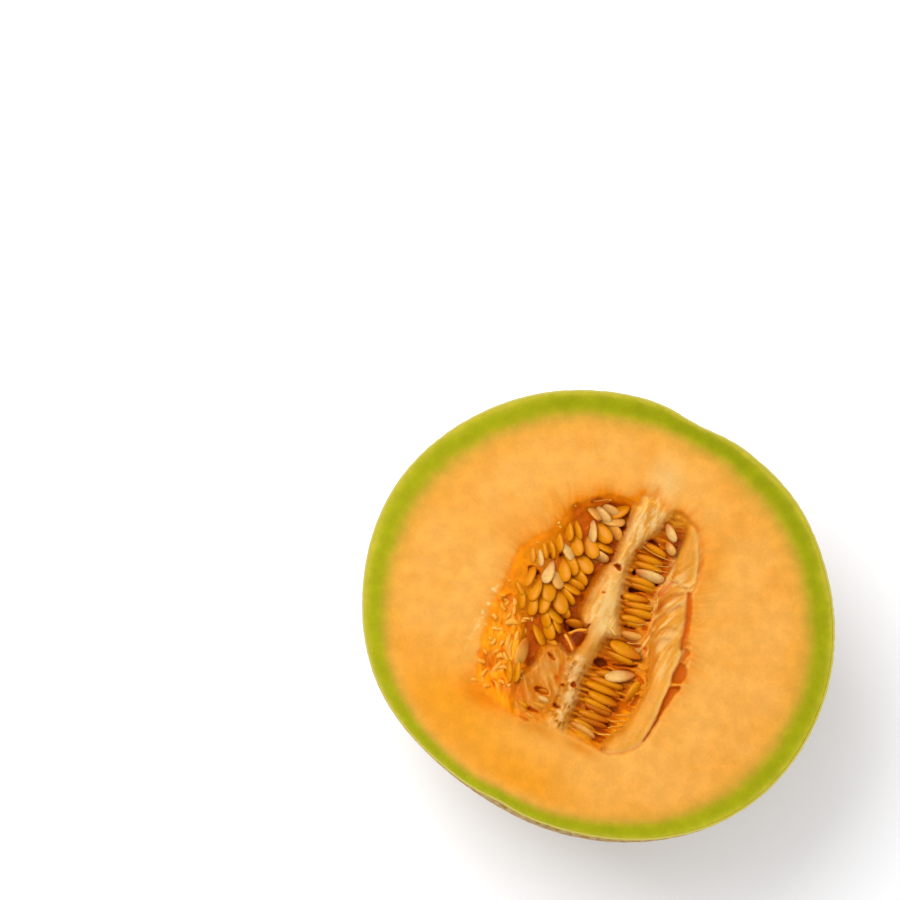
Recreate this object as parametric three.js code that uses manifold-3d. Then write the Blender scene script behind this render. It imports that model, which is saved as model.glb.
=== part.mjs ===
// Half of a netted muskmelon, cut lengthwise, lying on its rounded back with the cut face up.
// Millimetres. +Z is up, +Y points to the stem end, and the origin is the middle of the spot it rests on.
import * as THREE from "three";
import { ConvexHull } from "three/addons/math/ConvexHull.js";
import Module from "manifold-3d";

const wasm = await Module();
wasm.setup();
const { Manifold, CrossSection, Mesh } = wasm;

// Size of the fruit
const HALF_WIDTH = 75;
const HALF_LENGTH = 69;
const DEPTH = 75;
const REST_SPOT_CUT = 1.3;
const FACE_Z = DEPTH - REST_SPOT_CUT;

// Where it grew fuller or flatter than an ellipse: compass angle in degrees, millimetres, spread in degrees
const BULGES = [
  { angle: -45, out: 2.6, spread: 36 },
  { angle: 62, out: 2.2, spread: 20 },
  { angle: 180, out: -1.3, spread: 32 },
];

// Stem scar and blossom scar, at the two ends of the long axis
const SCARS = [
  { y: 1, dent: 1.6, spread: 0.13 },
  { y: -1, dent: 0.7, spread: 0.08 },
];

// Raised net on the rind
const CELL_PITCH = 9.4;
const CELL_JITTER = 0.6;
const HEXAGON_SHARE = 0.866;
const NET_HEIGHT = 0.9;
const CREST_SHARE = 0.24;
const NET_ABOVE_FACE = 0.22;

// Hollows of the seed cavity, as outlines on the cut face
const LEFT_POCKET = [
  [-4.5, 36], [-8, 36.5], [-13, 35], [-18, 31.5], [-22, 27.5], [-23, 21], [-25, 15], [-28, 11],
  [-31, 6], [-30, 0], [-29.5, -6], [-28.5, -11], [-22, -14], [-18, -20], [-19, -28], [-18, -35],
  [-10, -38], [-2, -40.5], [3, -38], [4, -34], [2, -26], [0.5, -22], [0, -18], [1, -10],
  [0, -6], [-3, -4], [-5, 0], [-5, 4], [-4.5, 8], [-3, 12], [-1.5, 16], [-2.5, 20], [-3.2, 30],
];
const RIGHT_POCKET = [
  [5.3, 38.5], [4.5, 32], [2, 25], [1.5, 20], [3, 12], [3.5, 8], [7, 0], [9, -3], [5.5, -6],
  [5, -12], [5, -22], [5.5, -30], [7, -38], [10, -40.5], [17, -43], [20.5, -40], [20.5, -35.5],
  [24, -29], [24.5, -18], [24, -12], [20, -1.5], [16.5, 8], [15.5, 13], [16, 19.5], [15, 24],
  [13, 30], [14, 37], [11, 41], [7, 41.5],
];
const SLIT = [
  [15.5, 36.5], [18, 33], [20.5, 29], [22, 25], [22.8, 21.5], [23, 18.5], [25, 14], [26.5, 10],
  [28, 5], [29, 2], [30, -3], [31, -9], [31.3, -20], [31.2, -26], [30.8, -31], [31.9, -30],
  [32.6, -24], [33, -18], [33.6, -12], [33.8, -5], [32.5, -1], [31.5, 3], [29.5, 7], [27.8, 11],
  [26.2, 15], [24.8, 19], [23.8, 23], [22, 28.5], [19.6, 33], [16.6, 37.5],
];
const PULP_HOLLOW = [
  [-30, -5], [-30, -19], [-28, -26], [-26, -33], [-23, -39], [-16, -42], [-8, -42.5], [0, -41.5],
  [-2, -38], [-10, -36], [-16, -33], [-17, -26], [-16, -20], [-20, -13], [-26, -8],
];
const POCKET_DEPTH = 29;
const POCKET_NARROWING = 0.5;
const NARROWING_POWER = 2.4;
const POCKET_LEVELS = 5;
const SLIT_DEPTH = 16;
const PULP_DEPTH = 5;

// Grooves between the fibres of the pale band and of the ribbed fold beside it
const FIBRE_LINES = [
  [[-1.5, 39], [-1, 30], [0.6, 22], [0.9, 14], [0, 6], [2, -2]],
  [[2.5, 39], [2, 32], [0, 25], [0.4, 16]],
  [[3.2, -4], [3, -12], [2.6, -20], [3.6, -28], [5, -36]],
  [[18.5, 15], [20.5, 9], [23, 2], [26, -6], [27.4, -16], [27, -26], [24, -34]],
  [[21.5, 15], [23.5, 9], [26, 2], [28.6, -7], [29.4, -17], [29, -27], [26, -35]],
  [[16, 33], [17.6, 28], [19.5, 23]],
];
const GROOVE_WIDTH = 0.7;
const GROOVE_DEPTH = 0.8;

// Shreds of pulp standing up in the lower left of the cavity
const SHRED_PITCH = 2.7;
const SHRED_LENGTH = 5.6;
const SHRED_WIDTH = 1.2;
const SHRED_SIDES = 4;
const SHRED_TILT = { least: 18, most: 48 };
const SHRED_FROM_EDGE = 0.9;
const SHRED_ROOT = 0.7;

// One seed
const SEED_LENGTH = 9.6;
const SEED_WIDTH = 4.3;
const SEED_THICKNESS = 1.9;
const SEED_SIDES = 6;
const SPINDLE_RINGS = [{ at: -0.18, size: 0.82 }, { at: 0.2, size: 1 }, { at: 0.4, size: 0.62 }];

// Shingled rows of seeds in the left pocket, on a bed that falls toward the band
const LEFT_COLUMNS = { first: -7.4, step: -3.8, count: 6 };
const LEFT_ROWS = { first: 33.5, step: -4.3, count: 17, stagger: 1.9 };
const LEFT_BED = { drop: 4, from: -28, slope: 0.4 };
const LEFT_TURN = { near: -12, far: -72, wobble: 16 };
const LEFT_LIFT = 28;
const LEFT_RAISED = 1.6;
const LEFT_FROM_EDGE = 2.2;

// Ladder of seeds on edge in the right pocket, with flat ones above it
const LADDER = { x: 13, top: 25.5, step: -2.6, count: 25, turn: 11, wobble: 9, shake: 1.4 };
const LADDER_BEND = { below: -9, lean: 0.12 };
const LADDER_EDGE = { least: 62, most: 84 };
const LADDER_RAISED = 1.7;
const FLAT_SEEDS = { x: 10, y: [29.2, 33.2, 37.4], turn: 12, tilt: 24, raised: 0.5 };
const RIGHT_BED_DROP = 8.5;

const SEED_TOP_BELOW_FACE = 0.8;
const NODE_GAP = 0.7;
const FLOOR_GAP = 0.6;
const ABOVE = 20;
const DEGREE = Math.PI / 180;

// A repeatable random number from 0 to 1
function seeded(seed) {
  let state = seed;
  return () => {
    state = (state + 0x6d2b79f5) | 0;
    let mixed = Math.imul(state ^ (state >>> 15), 1 | state);
    mixed = (mixed + Math.imul(mixed ^ (mixed >>> 7), 61 | mixed)) ^ mixed;
    return ((mixed ^ (mixed >>> 14)) >>> 0) / 4294967296;
  };
}

// How far the rind stands out from the plain ellipsoid at a compass angle
function bulgeAt(angle) {
  return BULGES.reduce((sum, bulge) => {
    const turn = angle / DEGREE - bulge.angle;
    const away = ((turn + 540) % 360) - 180;
    return sum + bulge.out * Math.exp(-((away / bulge.spread) ** 2));
  }, 0);
}

// The point of the rind in a direction from the middle of the cut face, sunk by a depth
function rindPoint(direction, sunk) {
  const level = Math.hypot(direction.x, direction.y);
  const grown = 1 + (bulgeAt(Math.atan2(direction.y, direction.x)) * level) / HALF_WIDTH;
  const point = new THREE.Vector3(
    direction.x * HALF_WIDTH * grown,
    direction.y * HALF_LENGTH * grown,
    direction.z * DEPTH,
  );
  const dent = SCARS.reduce((sum, scar) => {
    const away = Math.hypot(direction.x, direction.y - scar.y, direction.z);
    return sum + scar.dent * Math.exp(-((away / scar.spread) ** 2));
  }, 0);
  point.multiplyScalar(1 - (sunk + dent) / point.length());
  point.z += FACE_Z;
  return point;
}

// Middles of the net's cells, spread evenly over the ball and shaken a little
function cellMiddles() {
  const random = seeded(7);
  const area = 4 * Math.PI * HALF_LENGTH * DEPTH;
  const count = Math.round(area / (CELL_PITCH * CELL_PITCH * HEXAGON_SHARE));
  const golden = Math.PI * (3 - Math.sqrt(5));
  const spread = Math.sqrt((4 * Math.PI) / count) * CELL_JITTER;
  const middles = [];
  for (let i = 0; i < count; i++) {
    const z = 1 - (2 * i + 1) / count;
    const ring = Math.sqrt(1 - z * z);
    const middle = new THREE.Vector3(ring * Math.cos(golden * i), ring * Math.sin(golden * i), z);
    middle.x += (random() - 0.5) * spread;
    middle.y += (random() - 0.5) * spread;
    middle.z += (random() - 0.5) * spread;
    middles.push(middle.normalize());
  }
  return middles;
}

// Corners of each cell, in order round it: the points equally far from three neighbouring middles
function cellCorners(middles) {
  const hull = new ConvexHull().setFromPoints(middles);
  const around = new Map(middles.map((middle) => [middle, []]));
  for (const face of hull.faces) {
    const ends = [];
    let edge = face.edge;
    do {
      ends.push(edge.head().point);
      edge = edge.next;
    } while (edge !== face.edge);
    const corner = face.normal.clone().normalize();
    ends.forEach((end) => around.get(end).push(corner));
  }
  return middles.map((middle) => {
    const side = new THREE.Vector3(0, 0, 1).cross(middle).normalize();
    const up = middle.clone().cross(side);
    const corners = around.get(middle);
    const turn = (corner) => Math.atan2(corner.dot(up), corner.dot(side));
    return corners.sort((a, b) => turn(a) - turn(b));
  });
}

// The whole rind as a closed skin: crests along the cells' borders and a sunken floor in each cell
function nettedBall() {
  const middles = cellMiddles();
  const corners = cellCorners(middles);
  const points = [];
  const triangles = [];
  const crests = new Map();
  const add = (point) => points.push(point.x, point.y, point.z) / 3 - 1;
  const crest = (corner) => {
    if (!crests.has(corner)) crests.set(corner, add(rindPoint(corner, 0)));
    return crests.get(corner);
  };
  middles.forEach((middle, i) => {
    const netted = middle.z < NET_ABOVE_FACE;
    const rim = corners[i].map(crest);
    const count = rim.length;
    if (!netted) {
      for (let k = 1; k + 1 < count; k++) triangles.push(rim[0], rim[k], rim[k + 1]);
      return;
    }
    const floor = corners[i].map((corner) => {
      const inner = corner.clone().lerp(middle, CREST_SHARE).normalize();
      return add(rindPoint(inner, NET_HEIGHT));
    });
    for (let k = 0; k < count; k++) {
      const next = (k + 1) % count;
      triangles.push(rim[k], rim[next], floor[k], rim[next], floor[next], floor[k]);
      if (k && next) triangles.push(floor[0], floor[k], floor[next]);
    }
  });
  return solidFrom(points, triangles);
}

function solidFrom(points, triangles) {
  const mesh = new Mesh({
    numProp: 3,
    vertProperties: new Float32Array(points),
    triVerts: new Uint32Array(triangles),
  });
  return new Manifold(mesh);
}

// A hollow that narrows downward from its outline on the cut face
function hollow(outline, depth, narrowing, inset) {
  const section = new CrossSection([outline], "EvenOdd").offset(-inset, "Miter");
  const box = section.bounds();
  const midX = (box.min[0] + box.max[0]) / 2;
  const midY = (box.min[1] + box.max[1]) / 2;
  const body = Manifold.extrude(section, depth, POCKET_LEVELS).translate([0, 0, FACE_Z - depth]);
  const tapered = body.warp((point) => {
    const down = (FACE_Z - point[2]) / depth;
    const share = 1 - narrowing * down ** NARROWING_POWER;
    point[0] = midX + (point[0] - midX) * share;
    point[1] = midY + (point[1] - midY) * share;
  });
  const mouth = Manifold.extrude(section, ABOVE).translate([0, 0, FACE_Z]);
  return tapered.add(mouth);
}

// A groove of even width along a line of points on the cut face
function groove(line) {
  const side = (i, sign) => {
    const before = line[Math.max(i - 1, 0)];
    const after = line[Math.min(i + 1, line.length - 1)];
    const along = new THREE.Vector2(after[0] - before[0], after[1] - before[1]).normalize();
    const half = (sign * GROOVE_WIDTH) / 2;
    return [line[i][0] - along.y * half, line[i][1] + along.x * half];
  };
  const right = line.map((point, i) => side(i, -1));
  const left = line.map((point, i) => side(i, 1)).reverse();
  const section = new CrossSection([[...right, ...left]], "NonZero");
  return Manifold.extrude(section, GROOVE_DEPTH + ABOVE).translate([0, 0, FACE_Z - GROOVE_DEPTH]);
}

// Distance from a point on the face to an outline, negative outside it
function depthInside(outline, x, y) {
  let nearest = Infinity;
  let inside = false;
  outline.forEach(([x1, y1], i) => {
    const [x2, y2] = outline[(i + 1) % outline.length];
    const length2 = (x2 - x1) ** 2 + (y2 - y1) ** 2;
    const share = ((x - x1) * (x2 - x1) + (y - y1) * (y2 - y1)) / length2;
    const held = Math.min(Math.max(share, 0), 1);
    nearest = Math.min(nearest, Math.hypot(x - x1 - held * (x2 - x1), y - y1 - held * (y2 - y1)));
    if (y1 > y !== y2 > y && x < x1 + ((y - y1) * (x2 - x1)) / (y2 - y1)) inside = !inside;
  });
  return inside ? nearest : -nearest;
}

// A body of few sides, pointed at its ends, lying along X about the origin
function spindle(length, width, thickness, sides) {
  const points = [[-length / 2, 0, 0], [length / 2, 0, 0]];
  for (const ring of SPINDLE_RINGS) {
    for (let k = 0; k < sides; k++) {
      const turn = (2 * Math.PI * k) / sides;
      const across = (Math.cos(turn) * width * ring.size) / 2;
      const through = (Math.sin(turn) * thickness * ring.size) / 2;
      points.push([length * ring.at, across, through]);
    }
  }
  return Manifold.hull(points);
}

// Broken fibres of pulp, rooted in the floor of the shallow hollow
function pulpShreds() {
  const random = seeded(23);
  const shred = spindle(SHRED_LENGTH, SHRED_WIDTH, SHRED_WIDTH, SHRED_SIDES);
  const root = FACE_Z - PULP_DEPTH + SHRED_ROOT;
  const shreds = [];
  for (let x = -30; x < 0; x += SHRED_PITCH) {
    for (let y = -42; y < -5; y += SHRED_PITCH) {
      const atX = x + (random() - 0.5) * SHRED_PITCH;
      const atY = y + (random() - 0.5) * SHRED_PITCH;
      const turn = random() * 180;
      const tilt = SHRED_TILT.least + random() * (SHRED_TILT.most - SHRED_TILT.least);
      const onFloor = depthInside(PULP_HOLLOW, atX, atY) > SHRED_FROM_EDGE;
      const offSeeds = depthInside(LEFT_POCKET, atX, atY) < -SHRED_FROM_EDGE;
      if (!onFloor || !offSeeds) continue;
      shreds.push(shred.rotate([0, -tilt, turn]).translate([atX, atY, root]));
    }
  }
  return Manifold.union(shreds);
}

function melonHalf() {
  const wide = 4 * HALF_WIDTH;
  const slab = Manifold.cube([wide, wide, FACE_Z]).translate([-wide / 2, -wide / 2, 0]);
  const half = nettedBall().intersect(slab);
  const leftPocket = hollow(LEFT_POCKET, POCKET_DEPTH, POCKET_NARROWING, 0);
  const hollows = [
    leftPocket,
    hollow(RIGHT_POCKET, POCKET_DEPTH, POCKET_NARROWING, 0),
    hollow(SLIT, SLIT_DEPTH, 0, 0),
    hollow(PULP_HOLLOW, PULP_DEPTH, 0, 0),
    ...FIBRE_LINES.map(groove),
  ];
  const cut = half.subtract(Manifold.union(hollows));
  return cut.add(pulpShreds().subtract(leftPocket).intersect(slab));
}

// The room in a pocket, clear of its walls and its floor
function seedRoom(outline) {
  return hollow(outline, POCKET_DEPTH - FLOOR_GAP, POCKET_NARROWING, NODE_GAP);
}

// The bed that a bunch of seeds grows from: it fills its pocket up to a sloping plane
function bed(outline, drop, from, slope) {
  const filled = seedRoom(outline);
  const normal = new THREE.Vector3(-slope, 0, -1).normalize();
  const onPlane = new THREE.Vector3(from, 0, FACE_Z - drop);
  return filled.trimByPlane(normal.toArray(), normal.dot(onPlane));
}

// Keeps a bunch inside its pocket and under the cut face, without the chips that the walls cut off
function kept(bunch, outline) {
  const room = seedRoom(outline).trimByPlane([0, 0, -1], SEED_TOP_BELOW_FACE - FACE_Z);
  const bodies = bunch.intersect(room).decompose();
  return bodies.sort((a, b) => b.volume() - a.volume())[0];
}

function leftSeeds() {
  const random = seeded(41);
  const seed = spindle(SEED_LENGTH, SEED_WIDTH, SEED_THICKNESS, SEED_SIDES);
  const span = LEFT_COLUMNS.step * (LEFT_COLUMNS.count - 1);
  const pieces = [bed(LEFT_POCKET, LEFT_BED.drop, LEFT_BED.from, LEFT_BED.slope)];
  for (let column = 0; column < LEFT_COLUMNS.count; column++) {
    for (let row = 0; row < LEFT_ROWS.count; row++) {
      const x = LEFT_COLUMNS.first + column * LEFT_COLUMNS.step + (random() - 0.5);
      const shift = column % 2 ? LEFT_ROWS.stagger : 0;
      const y = LEFT_ROWS.first + row * LEFT_ROWS.step - shift + (random() - 0.5);
      const wobble = (random() - 0.5) * LEFT_TURN.wobble;
      if (depthInside(LEFT_POCKET, x, y) < LEFT_FROM_EDGE) continue;
      const across = (x - LEFT_COLUMNS.first) / span;
      const turn = LEFT_TURN.near + (LEFT_TURN.far - LEFT_TURN.near) * across + wobble;
      const top = FACE_Z - LEFT_BED.drop - (x - LEFT_BED.from) * LEFT_BED.slope;
      const stood = seed.rotate([0, -LEFT_LIFT, turn]);
      pieces.push(stood.translate([x, y, top + LEFT_RAISED]));
    }
  }
  return kept(Manifold.union(pieces), LEFT_POCKET);
}

function rightSeeds() {
  const random = seeded(59);
  const seed = spindle(SEED_LENGTH, SEED_WIDTH, SEED_THICKNESS, SEED_SIDES);
  const bedTop = FACE_Z - RIGHT_BED_DROP;
  const pieces = [bed(RIGHT_POCKET, RIGHT_BED_DROP, 0, 0)];
  for (let i = 0; i < LADDER.count; i++) {
    const y = LADDER.top + i * LADDER.step;
    const lean = Math.max(0, y - LADDER_BEND.below) * LADDER_BEND.lean;
    const x = LADDER.x - lean + (random() - 0.5) * LADDER.shake;
    const turn = LADDER.turn + (random() - 0.5) * LADDER.wobble;
    const edge = LADDER_EDGE.least + random() * (LADDER_EDGE.most - LADDER_EDGE.least);
    pieces.push(seed.rotate([edge, 0, turn]).translate([x, y, bedTop + LADDER_RAISED]));
  }
  FLAT_SEEDS.y.forEach((y) => {
    const laid = seed.rotate([FLAT_SEEDS.tilt, 0, FLAT_SEEDS.turn]);
    pieces.push(laid.translate([FLAT_SEEDS.x, y, bedTop + FLAT_SEEDS.raised]));
  });
  return kept(Manifold.union(pieces), RIGHT_POCKET);
}

function meshOf(solid, name, colour) {
  const made = solid.getMesh();
  const geometry = new THREE.BufferGeometry();
  const corners = new Float32Array(made.numVert * 3);
  for (let i = 0; i < made.numVert; i++) {
    for (let axis = 0; axis < 3; axis++) {
      corners[i * 3 + axis] = made.vertProperties[i * made.numProp + axis];
    }
  }
  geometry.setAttribute("position", new THREE.BufferAttribute(corners, 3));
  geometry.setIndex(new THREE.BufferAttribute(made.triVerts, 1));
  const mesh = new THREE.Mesh(geometry, new THREE.MeshStandardMaterial({ color: colour }));
  mesh.name = name;
  return mesh;
}

const melon = new THREE.Group();
melon.add(meshOf(melonHalf(), "melon_half", 0xf2a84e));
melon.add(meshOf(leftSeeds(), "seeds_left", 0xe0a044));
melon.add(meshOf(rightSeeds(), "seeds_right", 0xe0a044));

export default melon;
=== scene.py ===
"""Cut half of a netted muskmelon on a white table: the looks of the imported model, which is its frame."""

import math

import bmesh
import bpy
import numpy as np
from mathutils import Matrix, Vector


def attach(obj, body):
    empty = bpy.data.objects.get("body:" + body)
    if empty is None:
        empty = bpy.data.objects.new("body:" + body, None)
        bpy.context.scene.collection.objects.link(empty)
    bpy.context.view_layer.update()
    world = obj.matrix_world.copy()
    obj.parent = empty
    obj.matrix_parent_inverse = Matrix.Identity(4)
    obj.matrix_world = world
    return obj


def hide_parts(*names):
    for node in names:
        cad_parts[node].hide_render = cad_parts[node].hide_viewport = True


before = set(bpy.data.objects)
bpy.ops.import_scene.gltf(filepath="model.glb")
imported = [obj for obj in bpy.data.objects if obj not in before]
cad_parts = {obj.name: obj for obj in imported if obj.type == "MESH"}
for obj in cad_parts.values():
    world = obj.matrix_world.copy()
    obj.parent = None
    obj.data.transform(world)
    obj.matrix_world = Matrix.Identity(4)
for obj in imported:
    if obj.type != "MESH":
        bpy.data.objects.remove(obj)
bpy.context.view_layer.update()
MM = 0.001

# Size of the fruit in millimetres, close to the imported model's
HALF_WIDTH, HALF_LENGTH, DEPTH = 75.0, 68.0, 75.0
REST_SPOT_CUT = 1.3
FACE_Z = DEPTH - REST_SPOT_CUT
# Bulges of the face's outline: compass angle, height and spread in degrees
BULGES = ((-38, 3.1, 33), (60, 1.1, 14), (150, -0.6, 20), (230, 2.2, 22))
# The same for the skin just below the cut
LOW_BULGES = ((287, 1.0, 22), (232, -0.5, 26))
# Dents at the stem end and the blossom end: end, depth and spread
SCARS = ((1, 1.6, 0.13), (-1, 0.7, 0.08))

# The rind and its net
RIND_THICK = 0.75
# The rind's inner side and the flesh's underside, below the skin
RIND_INSIDE, FLESH_UNDER = 1.7, 2.3
INSIDE_RINGS, INSIDE_STEPS = 9, 360
CELL_PITCH = 4.5
NET_HEIGHT = 0.75
NET_HALF_WIDTH = 0.72
NET_SLOPE = 0.4
# The strewn cells' shift, the net lines' wobble, and how far above the face the cells still begin
CELL_SHIFT, LINE_WOBBLE, CELLS_TOP = 1.3, 0.11, 0.12

# The camera: angle off the face's normal and roll in degrees, distance, and the face's middle in pixels
CAMERA_TILT, CAMERA_ROLL, CAMERA_AWAY = 8.0, 28.0, 2400.0
MM_PER_PIXEL = 75 / 241
PICTURE = 900
FACE_PIXEL = (600, 611)
# Where the zero point of the outlines below lies on the face
CENTRE = (-0.55, -0.3)
# The outlines' heights were measured as if the camera stood this far off the face's normal
MEASURED_TILT = 15.5
SEEN_UP = math.cos(math.radians(MEASURED_TILT)) / math.cos(math.radians(CAMERA_TILT))
# How far up the face a thing seems to lie lower, for each millimetre of its depth
LEAN = math.tan(math.radians(CAMERA_TILT))

# The fine grid over the cavity, the rings round it and the rings of the underside
GRID_X, GRID_Y, GRID_STEP = (-34.5, 36), (-45, 44), 0.34
FACE_RINGS, UNDER_RINGS = 28, 6

# The green rim: depths in from the edge with their shades, and by angle its width and darkness
RIM_STOPS = (0, 1.2, 2.2, 3.5, 5, 6.2, 7, 8, 9, 10, 12, 15, 20)
RIM_SHADES = (
    "D4C24A", "CBBE38", "B9B728", "AEB018", "AEAE18", "B4AE20", "BFAC28", "CCA936", "DAAA42", "E6AB46",
    "F2AD4A", "F8AF50", "F9B258",
)
RIM_WIDTHS = (
    (0, 45, 67, 90, 112, 160, 200, 225, 247, 270, 292, 315, 337, 360),
    (0.96, 1, 1.0, 0.8, 0.98, 1.04, 0.94, 0.66, 0.5, 0.46, 0.6, 0.76, 0.9, 0.96),
)
RIM_DARKNESS = (
    (0, 30, 60, 90, 120, 150, 180, 240, 300, 330, 360),
    (0.3, 0.5, 0.7, 1, 0.8, 0.4, 0, 0.1, 0.2, 0.2, 0.3),
)

# How much darker a surface's own colour is than the colour it shows under the studio's light
OWN_COLOUR = (0.72, 0.71, 0.58)

# Outlines on the cut face in millimetres, as seen from the camera
CAVITY = (
    (-4, 37), (-8, 37), (-13, 35.6), (-18, 32), (-22, 27.5), (-23.5, 21), (-26, 15), (-29, 11), (-31.5, 6.5),
    (-31, 0), (-30, -6), (-30.5, -12), (-30, -19), (-28.5, -26), (-26.5, -33), (-23.5, -38), (-16, -41.5),
    (-8, -43), (0, -41), (5, -39.5), (10, -40), (17, -40), (22, -39.5), (28, -37), (31.6, -31), (32.6, -22),
    (33.6, -13), (34, -6), (32.5, 1), (29.5, 5), (27, 11), (24, 17), (24, 22), (23.4, 27), (20.4, 33),
    (16.5, 38), (11, 41), (6.5, 41), (4.6, 39), (0, 41.5), (-4, 40),
)
BAND = (
    (-5, 45), (-5, 40), (-4.8, 36), (-4, 32), (-3.5, 28), (-3, 24), (-2.6, 20), (-2.4, 17.5), (-2, 14),
    (-2.5, 10), (-2.8, 6), (-2.8, 2), (-2.4, -1.5), (-1, -4.5), (0.4, -6.2), (1.2, -9), (0.8, -13),
    (0, -16), (-0.5, -19), (0.2, -23), (1.4, -26), (2.6, -29.5), (3, -33), (2.4, -37), (1.5, -43),
    (9, -43), (7.5, -38), (6.8, -34), (6.6, -30), (6.2, -27), (4.8, -24), (4.7, -20), (5, -16),
    (5.4, -12), (5.2, -8), (5.8, -5.5), (8.6, -4.6), (9.3, -3.6), (8.3, -2.3), (6.8, 0.2), (5.6, 2.2),
    (4.7, 4.2), (3.9, 6.4), (3.5, 8), (3, 10), (2.4, 12.5), (1.9, 14.5), (1.4, 17), (1.2, 20), (1.6, 23),
    (2.4, 26), (3.2, 28), (4, 30), (5, 32.5), (5.4, 36), (6, 40), (7, 45),
)
SLOPE = (
    (-1, 17), (-3, 16), (-5, 13), (-6, 9), (-6.4, 5), (-6.2, 1), (-5.2, -3), (-2.8, -5.4), (0.2, -6.4),
    (1.4, -3), (0.5, 16),
)
FOLD_INNER = (
    (21, -39), (20.4, -36.5), (22, -33), (23.4, -30), (24, -27), (24.4, -22), (24.6, -17), (24, -13),
    (22.6, -9), (21.4, -6), (20, -3), (18.6, 0), (17.8, 3), (17.2, 6), (16.2, 9), (15.6, 12), (15, 14.5),
    (14.8, 17.5), (15.6, 20),
)
FOLD_OUTER = (
    (22.3, 19.4), (24, 16), (25.4, 13), (27, 9), (28.2, 5), (28.8, 2), (29.6, 0), (29.8, -3), (29.9, -6),
    (30.8, -10), (31, -15), (31.5, -20), (31.9, -26), (31.6, -31), (29, -35.5), (25.5, -38.5), (22.5, -40),
)
LOBE_INNER = ((12.8, 38.5), (13.4, 35.5), (13.9, 32), (13.9, 29), (14.6, 26), (15.6, 23), (16.4, 20.4))
LOBE_OUTER = (
    (19.5, 19.6), (22.4, 20.4), (23, 22.4), (22.6, 24.8), (21.5, 28), (19.9, 31.6), (17.6, 35.6), (15, 38.6),
)
PULP = (
    (-31, -9), (-30.5, -20), (-29, -27), (-27, -34), (-23, -40), (-16, -43), (-9, -42.5), (-9.5, -37),
    (-12, -33), (-12, -27), (-16.5, -20), (-18.5, -15), (-21.5, -12.5), (-26, -8.5),
)
SKINS = (
    (-10.5, -18.5), (-9.5, -24), (-12.5, -31), (-11, -37), (-8, -42), (-1, -42), (2, -36), (1.4, -28),
    (0, -21), (-0.5, -17), (-5, -15),
)

# Depths below the face: the seeds' beds, the pulp, the skins, the slope, the band and the folds
LADDER_BED, LEFT_BED, PULP_DEPTH, SKINS_DEPTH = 5.6, 2.2, 1.7, 2.6
SLOPE_TOP, SLOPE_DROP, BAND_DEPTH, FOLD_DEPTH = 0.8, 4.6, 0.5, 0.2
# The folds: name, outlines, how much deeper the inner side lies and how far that reaches
FOLDS = (("fold", FOLD_INNER, FOLD_OUTER, 2.8, 2.4), ("lobe", LOBE_INNER, LOBE_OUTER, 2.0, 1.8))

# Holes: outline, depth, darkness of the shade painted in them
HOLES = (
    (((-8.5, -7.2), (-6.6, -6.9), (-5.2, -5.6), (-3, -5), (-2.5, -6.5), (-3.2, -8.2), (-4.3, -10.4),
      (-5.4, -11), (-6.8, -10.4), (-7.6, -9)), 9, 1.0),
    (((-3.9, -10.8), (-2.9, -8.9), (-1, -8.2), (0.4, -8.2), (0.6, -10), (0.4, -12.5), (-0.6, -14),
      (-2.2, -12.9), (-3.6, -11.8)), 7, 0.75),
    (((5.8, -14.6), (6.6, -13.1), (8.4, -12.5), (10, -12.9), (11.5, -14), (10.1, -14.9), (8.8, -16.4),
      (7.4, -16), (6.2, -15.6)), 8, 0.75),
    (((5.1, 11.1), (5.8, 12.2), (7.6, 12.6), (10, 13.7), (11.2, 13.6), (11.3, 12.9), (9, 11.5), (7, 10.1),
      (5.9, 9.8)), 9, 0.9),
    (((8.9, -0.7), (9.5, 0.2), (12.6, 1.2), (13.4, 0.8), (13.4, 0.1), (11.5, -0.5), (9.8, -0.9)), 8, 0.8),
    (((10, 15.9), (11, 16.9), (13.1, 17.4), (13.3, 16.3), (12.8, 15.6), (10.8, 15.4)), 8, 0.8),
    (((11, -12.6), (13.2, -12), (16, -10.7), (18.8, -9), (19.2, -10), (17.6, -11.4), (14.8, -12.8),
      (12.2, -13.5)), 7, 0.7),
    (((-2.6, 15.4), (-1.7, 16.4), (-0.3, 16.6), (0.3, 15.6), (0.5, 14.7), (-0.8, 14.9)), 3.5, 0.6),
    (((3.2, 27.3), (4.4, 28.9), (6.6, 29), (8.8, 27.5), (7.4, 27.1), (5, 27.3)), 7, 0.7),
    (((-6.8, 26.8), (-5.2, 28), (-4, 28.6), (-3.9, 27), (-4.8, 26.3)), 6, 0.75),
    (((29.3, 2), (29.6, 2.8), (30.9, 2.8), (31.7, 1.6), (31.4, 0.2), (31, -1.4), (30.3, -1.4), (29.9, 0.2)),
     1.8, 0.24),
    (((29.8, -2.6), (30.6, -1.9), (32, -2), (33.2, -3.3), (33.7, -5.2), (33.6, -8), (32.5, -8.9), (31, -9.6),
      (30.2, -8.4), (29.8, -6)), 2.4, 0.3),
    (((30.8, -10.6), (31.9, -10), (33.6, -9.1), (34.1, -9.7), (33.4, -12), (33.1, -15), (32.6, -18.5),
      (32.5, -22), (32.2, -26), (31.6, -30.2), (31.2, -30.2), (31.7, -26), (31.8, -22), (31.3, -18),
      (30.8, -15)), 2.4, 0.3),
)
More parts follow.
